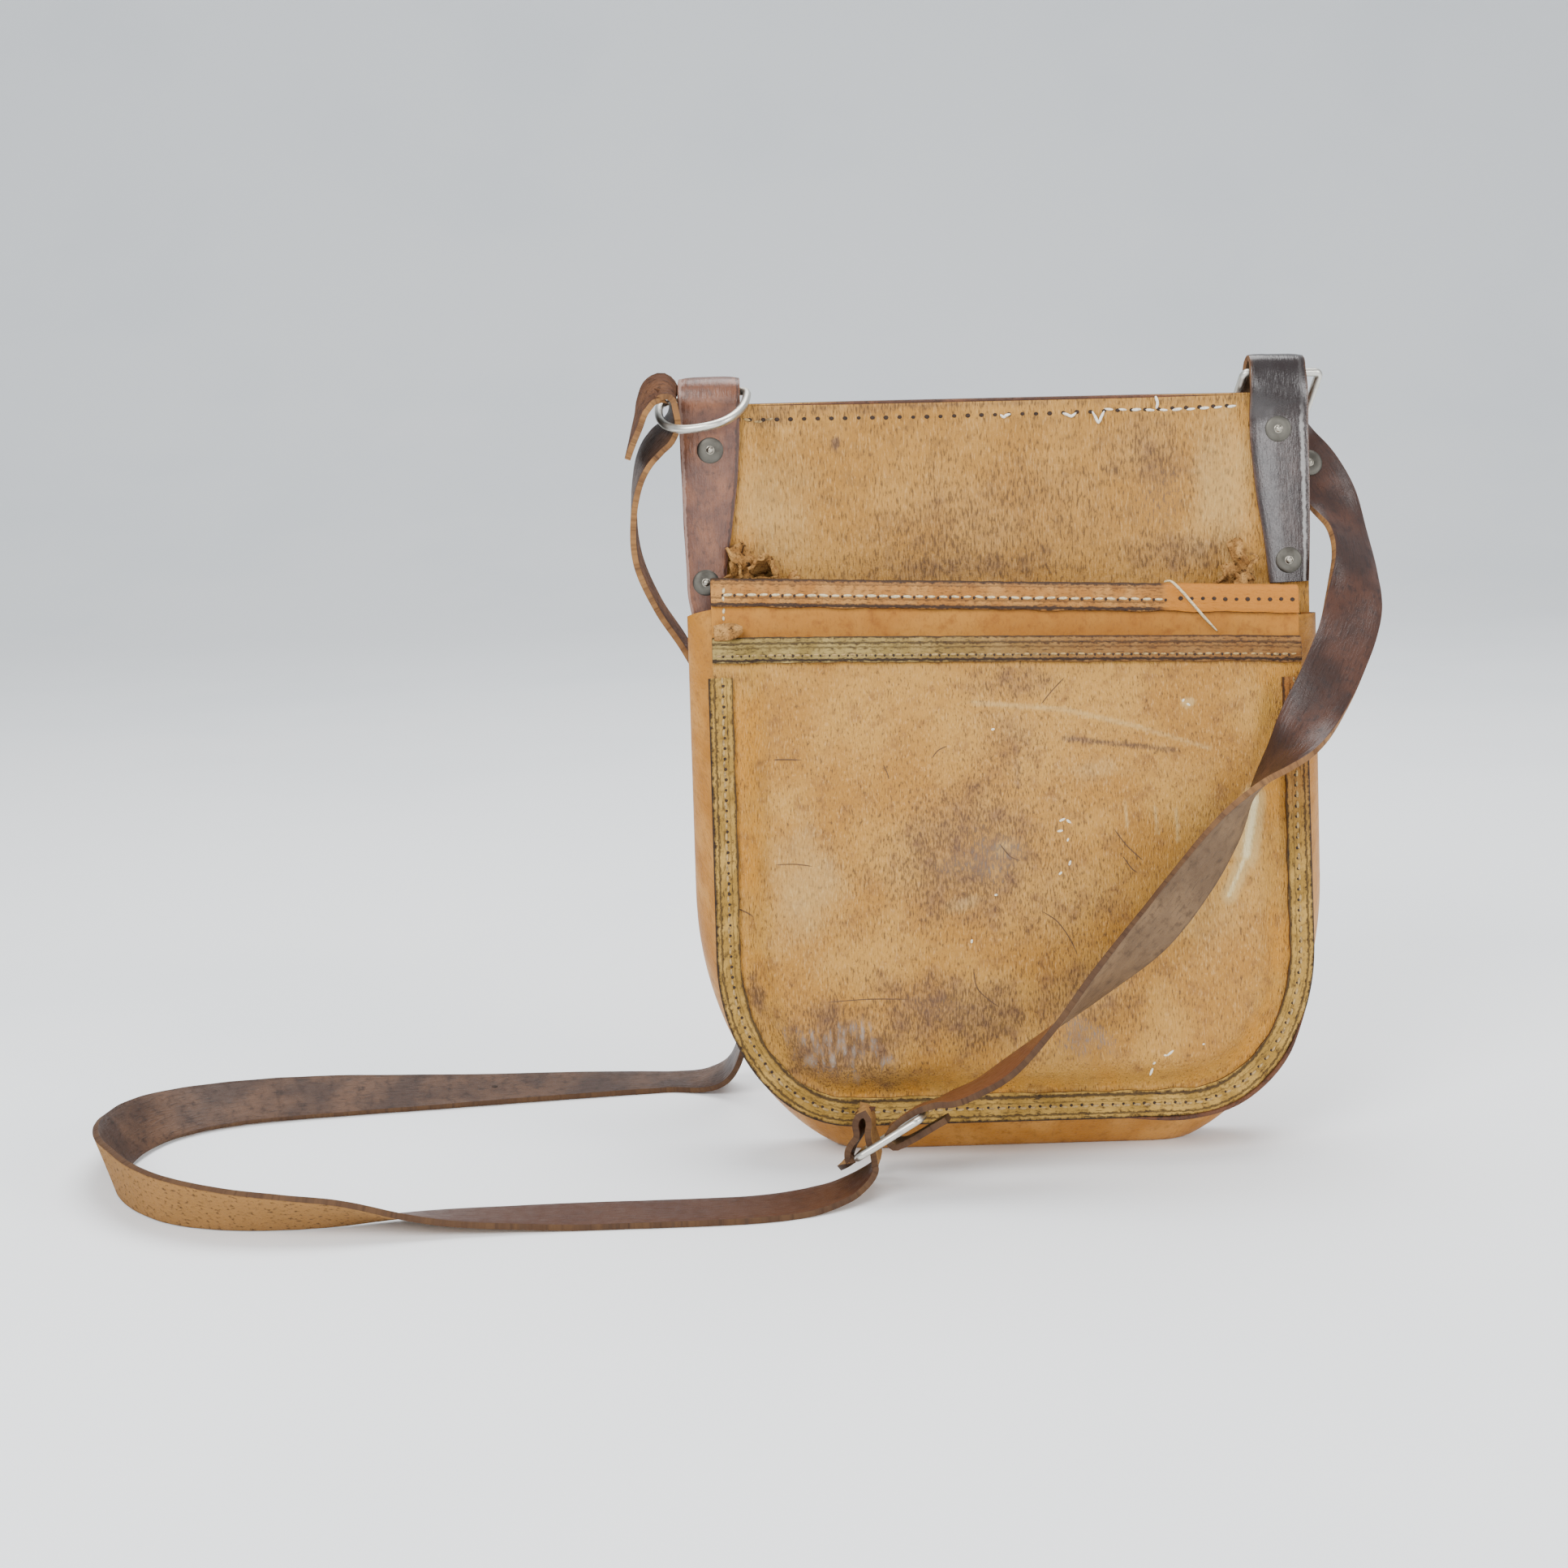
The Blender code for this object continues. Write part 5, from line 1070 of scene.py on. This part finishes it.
class SATCHEL_OT_stitching(bpy.types.Operator):
    """Rows of stitches, painted shade in the empty needle holes and what is left of the thread"""
    bl_idname = "satchel.stitching"
    bl_label = "Stitching"

    def execute(self, context):
        wide = context.scene.satchel_sizes.thread * 1000.0
        colours = context.scene.satchel_colours
        yellowed = plain("yellowed_linen_thread", colours.thread, "8E7A55", 0.85, 1400.0)
        white = plain("white_linen_thread", colours.bright_thread, "B9AC92", 0.85, 1400.0)
        worn = plain("dirty_linen_thread", linear("A38655"), "54422B", 0.9, 900.0)
        # Dark bodies in the needle holes and the strap hole: painted shade of the holes
        painted_hole_shade = plain("needle_hole_painted_shade", colours.hole, "1E1611", 0.95, 900.0)
        back_out = BACK.to_3x3() @ Vector((0.0, -1.0, 0.0))
        front_out = FRONT.to_3x3() @ Vector((0.0, -1.0, 0.0))
        for seed, (name, line, pitch, size, look, slot) in enumerate((
            ("top_row_holes", top_row(-94.0, 93.0), 5.2, (1.9, 1.6, 0.5), painted_hole_shade, "back_panel"),
            ("top_row_thread", top_row(43.0, 94.0), 5.2, (3.9, wide, 0.9), white, "back_panel"),
            ("top_row_left_thread", top_row(-95.0, -86.0), 4.4, (3.2, wide, 0.8), worn, "back_panel"),
            ("rim_thread", rim_row(-104.0, 62.0, 3.6), 4.5, (3.6, wide, 0.9), yellowed, "rim_binding"),
            ("rim_holes_left", rim_row(-106.0, 62.0, 3.9), 4.5, (1.1, 1.3, 0.4), painted_hole_shade, "rim_binding"),
            ("rim_holes_right", rim_row(66.0, 108.0, 3.2), 4.2, (1.8, 1.6, 0.5), painted_hole_shade, "rim_binding"),
            ("hem_thread", hem_row(-108.0, 108.0, 4.3), 3.4, (2.5, wide * 0.8, 0.7), worn, "front_hem"),
            ("hem_holes", hem_row(-106.3, 108.0, 4.6), 3.4, (0.9, 1.1, 0.4), painted_hole_shade, "front_hem"),
            ("binding_thread", seam_row(5.2, 1.0), 3.9, (2.7, wide * 0.95, 0.8), worn, "edge_binding"),
            ("binding_holes", seam_row(5.6, 3.0), 3.9, (1.2, 1.2, 0.4), painted_hole_shade, "edge_binding"),
            ("corner_thread", on_front([(-105.6, 214.5), (-105.8, 209.4)], RIM_FACE - SUNK), 3.0,
             (2.2, wide, 0.8), yellowed, "rim_binding"),
            ("corner_thread_low", on_front([(-105.8, 207.0), (-106.0, 199.0)], MIDDLE_FACE - SUNK), 2.8,
             (2.1, wide, 0.8), yellowed, "middle_panel"),
        ), 3):
            row_of(name, line, back_out if slot == "back_panel" else front_out, pitch, size, look, seed)
        for name, place, stations, slot, look in (
            ("loose_thread", FRONT, ((60.0, -4.2, 213.0), (62.0, -4.9, 213.2), (66.0, -5.0, 209.5),
                                     (70.0, -4.4, 204.8), (75.0, -3.2, 199.0), (79.5, -2.9, 194.0)),
             "rim_binding", yellowed),
            ("thread_loop", BACK, ((36.6, -0.2, 278.2), (37.6, -0.9, 276.2), (38.8, -1.0, 273.9),
                                   (40.0, -0.9, 276.2), (41.2, -0.2, 278.2)), "back_panel", white),
            ("thread_end_left", BACK, ((1.6, -0.2, 278.0), (2.8, -0.9, 277.0), (3.6, -0.9, 277.6),
                                       (5.4, -0.4, 278.1)), "back_panel", white),
            ("thread_end_middle", BACK, ((25.4, -0.2, 277.9), (27.0, -0.8, 277.2), (28.6, -0.8, 276.6),
                                         (30.4, -0.3, 277.9)), "back_panel", white),
            ("thread_end_up", BACK, ((61.0, -0.3, 278.6), (61.4, -1.1, 280.6), (60.6, -1.3, 283.2)),
             "back_panel", white),
        ):
            strand(name, place, stations, 0.5 * wide, look)
        row_of("strap_hole", [FOOT @ Vector((-209.0, 62.1, 4.95)), FOOT @ Vector((-207.0, 62.4, 4.9))],
               Vector((0.03, -0.21, 0.97)), 5.0, (3.2, 2.8, 0.5), painted_hole_shade, 15, 0.0)
        grime = plain("scratch_grime", linear("5C4430"), "3A2A1E", 0.9, 900.0)
        for count, line in enumerate(SCRATCHES):
            stations = [(x, front_depth(x, z) + 0.06, z) for x, z in line]
            strand("scratch_%02d" % (count + 1), FRONT, stations, 0.22, grime, 0.8)
        paint = plain("old_white_paint", linear("DDD6C2"), "B8A984", 0.7, 1500.0)
        for count, (x, z, length, turn) in enumerate(FRONT_FLECKS):
            run = Vector((math.cos(math.radians(turn)), 0.0, math.sin(math.radians(turn)))) * length * 0.5
            spots = [FRONT @ (Vector((x, front_depth(x, z), z)) + run * k) for k in (-1.0, 1.0)]
            row_of("paint_fleck_%02d" % (count + 1), spots, front_out, length * 1.01, (length, 0.9, 0.35), paint,
                   count, 0.4)
        return {"FINISHED"}


class SATCHEL_OT_wear(bpy.types.Operator):
    """Torn ends of the gusset inside the mouth and the curled corner of the hem"""
    bl_idname = "satchel.wear"
    bl_label = "Torn leather"

    def execute(self, context):
        torn = leather("torn_gusset_leather", "torn_leather")
        for count, (centre, size, turn, seed) in enumerate((
            ((-98.0, -6.4, 217.0), (13.0, 15.0), 10.0, 1.0), ((-98.0, -6.0, 226.0), (12.0, 12.0), -30.0, 2.0),
            ((-91.0, -7.6, 223.0), (16.0, 9.0), 40.0, 3.0), ((-86.0, -6.8, 218.5), (11.0, 14.0), -15.0, 4.0),
            ((-81.5, -7.0, 215.0), (10.0, 11.0), 55.0, 5.0), ((-92.0, -9.6, 214.5), (17.0, 9.0), 5.0, 6.0),
            ((91.5, -5.0, 220.0), (5.0, 15.0), -18.0, 7.0), ((87.0, -5.6, 213.0), (9.0, 10.0), 30.0, 8.0),
            ((92.0, -6.6, 211.0), (9.0, 8.0), 0.0, 9.0), ((95.0, -5.4, 216.0), (4.0, 11.0), 20.0, 10.0),
        )):
            crumple("torn_scrap_%02d" % (count + 1), BACK, centre, size, turn, seed, torn)
        curl = ((-109.6, -4.6, 198.4, 0.1, 0.2, 1.0, 3.0), (-105.6, -5.4, 198.8, 0.0, 0.3, 1.0, 3.4),
                (-101.4, -6.2, 199.2, 0.0, 0.6, 0.8, 3.2), (-98.8, -6.4, 199.6, 0.2, 0.9, 0.4, 2.2))
        sheet("curled_corner", ribbon_rows(FRONT, route_samples(curl, 0.9), 9), 0.0012, [torn, torn, torn],
              rounding=0.0003, even=False)
        burnish = leather("burnished_top_edge", "dark_edge")
        for name, place, line, slot, tip in (
            ("top_edge_bead", BACK, [(-98.0 + 28.0 * k, 0.75, 284.3 - 0.19 * k) for k in range(8)], "back_panel",
             0.2),
            ("binding_lip_crack", FRONT, ((40.0, -5.7, 12.4), (62.0, -5.8, 11.8), (80.0, -5.8, 16.0),
                                          (92.4, -5.8, 24.4), (101.6, -5.8, 35.8), (107.6, -5.8, 50.0)),
             "edge_binding", 0.8),
        ):
            strand(name, place, line, 0.95, burnish, tip)
        return {"FINISHED"}


class SATCHEL_OT_stage(bpy.types.Operator):
    """Pale floor, soft lamps and the camera"""
    bl_idname = "satchel.stage"
    bl_label = "Studio"

    def execute(self, context):
        scene = context.scene
        bm = bmesh.new()
        near, far, sweep, side, height = -3.0, 1.6, 1.2, 4.0, 4.0
        profile = [(near, 0.0), (far, 0.0)]
        for angle in spread(0.0, 0.5 * math.pi, 12)[1:]:
            profile.append((far + sweep * math.sin(angle), sweep * (1.0 - math.cos(angle))))
        profile.append((far + sweep, height))
        verts = [bm.verts.new((-side, y, z)) for y, z in profile]
        edges = [bm.edges.new(pair) for pair in zip(verts, verts[1:])]
        grown = bmesh.ops.extrude_edge_only(bm, edges=edges)
        moved = [item for item in grown["geom"] if isinstance(item, bmesh.types.BMVert)]
        bmesh.ops.translate(bm, verts=moved, vec=(2.0 * side, 0.0, 0.0))
        bmesh.ops.recalc_face_normals(bm, faces=bm.faces)
        mesh = mesh_from(bm, "studio_floor")
        mesh.shade_smooth()
        floor = bpy.data.objects.new("studio_floor", mesh)
        mesh.materials.append(plain("matt_paper", scene.satchel_colours.floor, "EFF2F4", 0.8, 3.0))
        scene.collection.objects.link(floor)
        for name, place, size, power in (("key", (-0.75, -1.15, 1.15), 0.9, 25.0),
                                         ("fill", (1.5, -0.85, 0.75), 0.8, 15.0),
                                         ("front", (0.3, -2.2, 0.7), 0.8, 14.0),
                                         ("top", (0.1, 0.35, 1.5), 1.2, 26.0)):
            lamp = bpy.data.lights.new(name, "AREA")
            lamp.shape = "DISK"
            lamp.size = size
            lamp.energy = power
            holder = bpy.data.objects.new(name, lamp)
            holder.location = place
            aim = Vector((-0.05, 0.0, 0.12)) - Vector(place)
            holder.rotation_euler = aim.to_track_quat("-Z", "Y").to_euler()
            scene.collection.objects.link(holder)
        world = bpy.data.worlds.new("soft_room")
        world.use_nodes = True
        world.node_tree.nodes["Background"].inputs[0].default_value = linear("DDE2E8")
        world.node_tree.nodes["Background"].inputs[1].default_value = 0.9
        scene.world = world
        lens = bpy.data.cameras.new("camera")
        lens.lens = 54.04
        lens.sensor_width = 36.0
        lens.clip_start = 0.05
        lens.clip_end = 20.0
        camera = bpy.data.objects.new("camera", lens)
        down = Matrix.Rotation(math.radians(79.0), 4, "X")
        roll = Matrix.Rotation(math.radians(-1.7), 4, "Z")
        camera.matrix_world = Matrix.Translation((-0.085, -0.8686, 0.3117)) @ down @ roll
        scene.collection.objects.link(camera)
        scene.camera = camera
        return {"FINISHED"}


class SATCHEL_PT_panel(bpy.types.Panel):
    """Sizes, colours and steps of the satchel"""
    bl_idname = "SATCHEL_PT_panel"
    bl_label = "Satchel"
    bl_space_type = "VIEW_3D"
    bl_region_type = "UI"
    bl_category = "Satchel"

    def draw(self, context):
        column = self.layout.column()
        for group in (context.scene.satchel_sizes, context.scene.satchel_colours):
            for name in group.bl_rna.properties.keys():
                if name not in ("rna_type", "name"):
                    column.prop(group, name)
        for step in STEPS:
            column.operator("satchel." + step)


STEPS = ("panels", "hems", "straps", "metal", "stitching", "wear", "stage")
CLASSES = (SatchelSizes, SatchelColours, SATCHEL_OT_panels, SATCHEL_OT_hems, SATCHEL_OT_straps,
           SATCHEL_OT_metal, SATCHEL_OT_stitching, SATCHEL_OT_wear, SATCHEL_OT_stage, SATCHEL_PT_panel)


def register():
    """Makes the classes and the scene's own settings known."""
    for item in CLASSES:
        bpy.utils.register_class(item)
    bpy.types.Scene.satchel_sizes = bpy.props.PointerProperty(type=SatchelSizes)
    bpy.types.Scene.satchel_colours = bpy.props.PointerProperty(type=SatchelColours)


def unregister():
    """Takes them back."""
    del bpy.types.Scene.satchel_sizes
    del bpy.types.Scene.satchel_colours
    for item in reversed(CLASSES):
        bpy.utils.unregister_class(item)


def main():
    """Builds the satchel and its studio."""
    register()
    for step in STEPS:
        getattr(bpy.ops.satchel, step)()


if __name__ == "__main__":
    main()
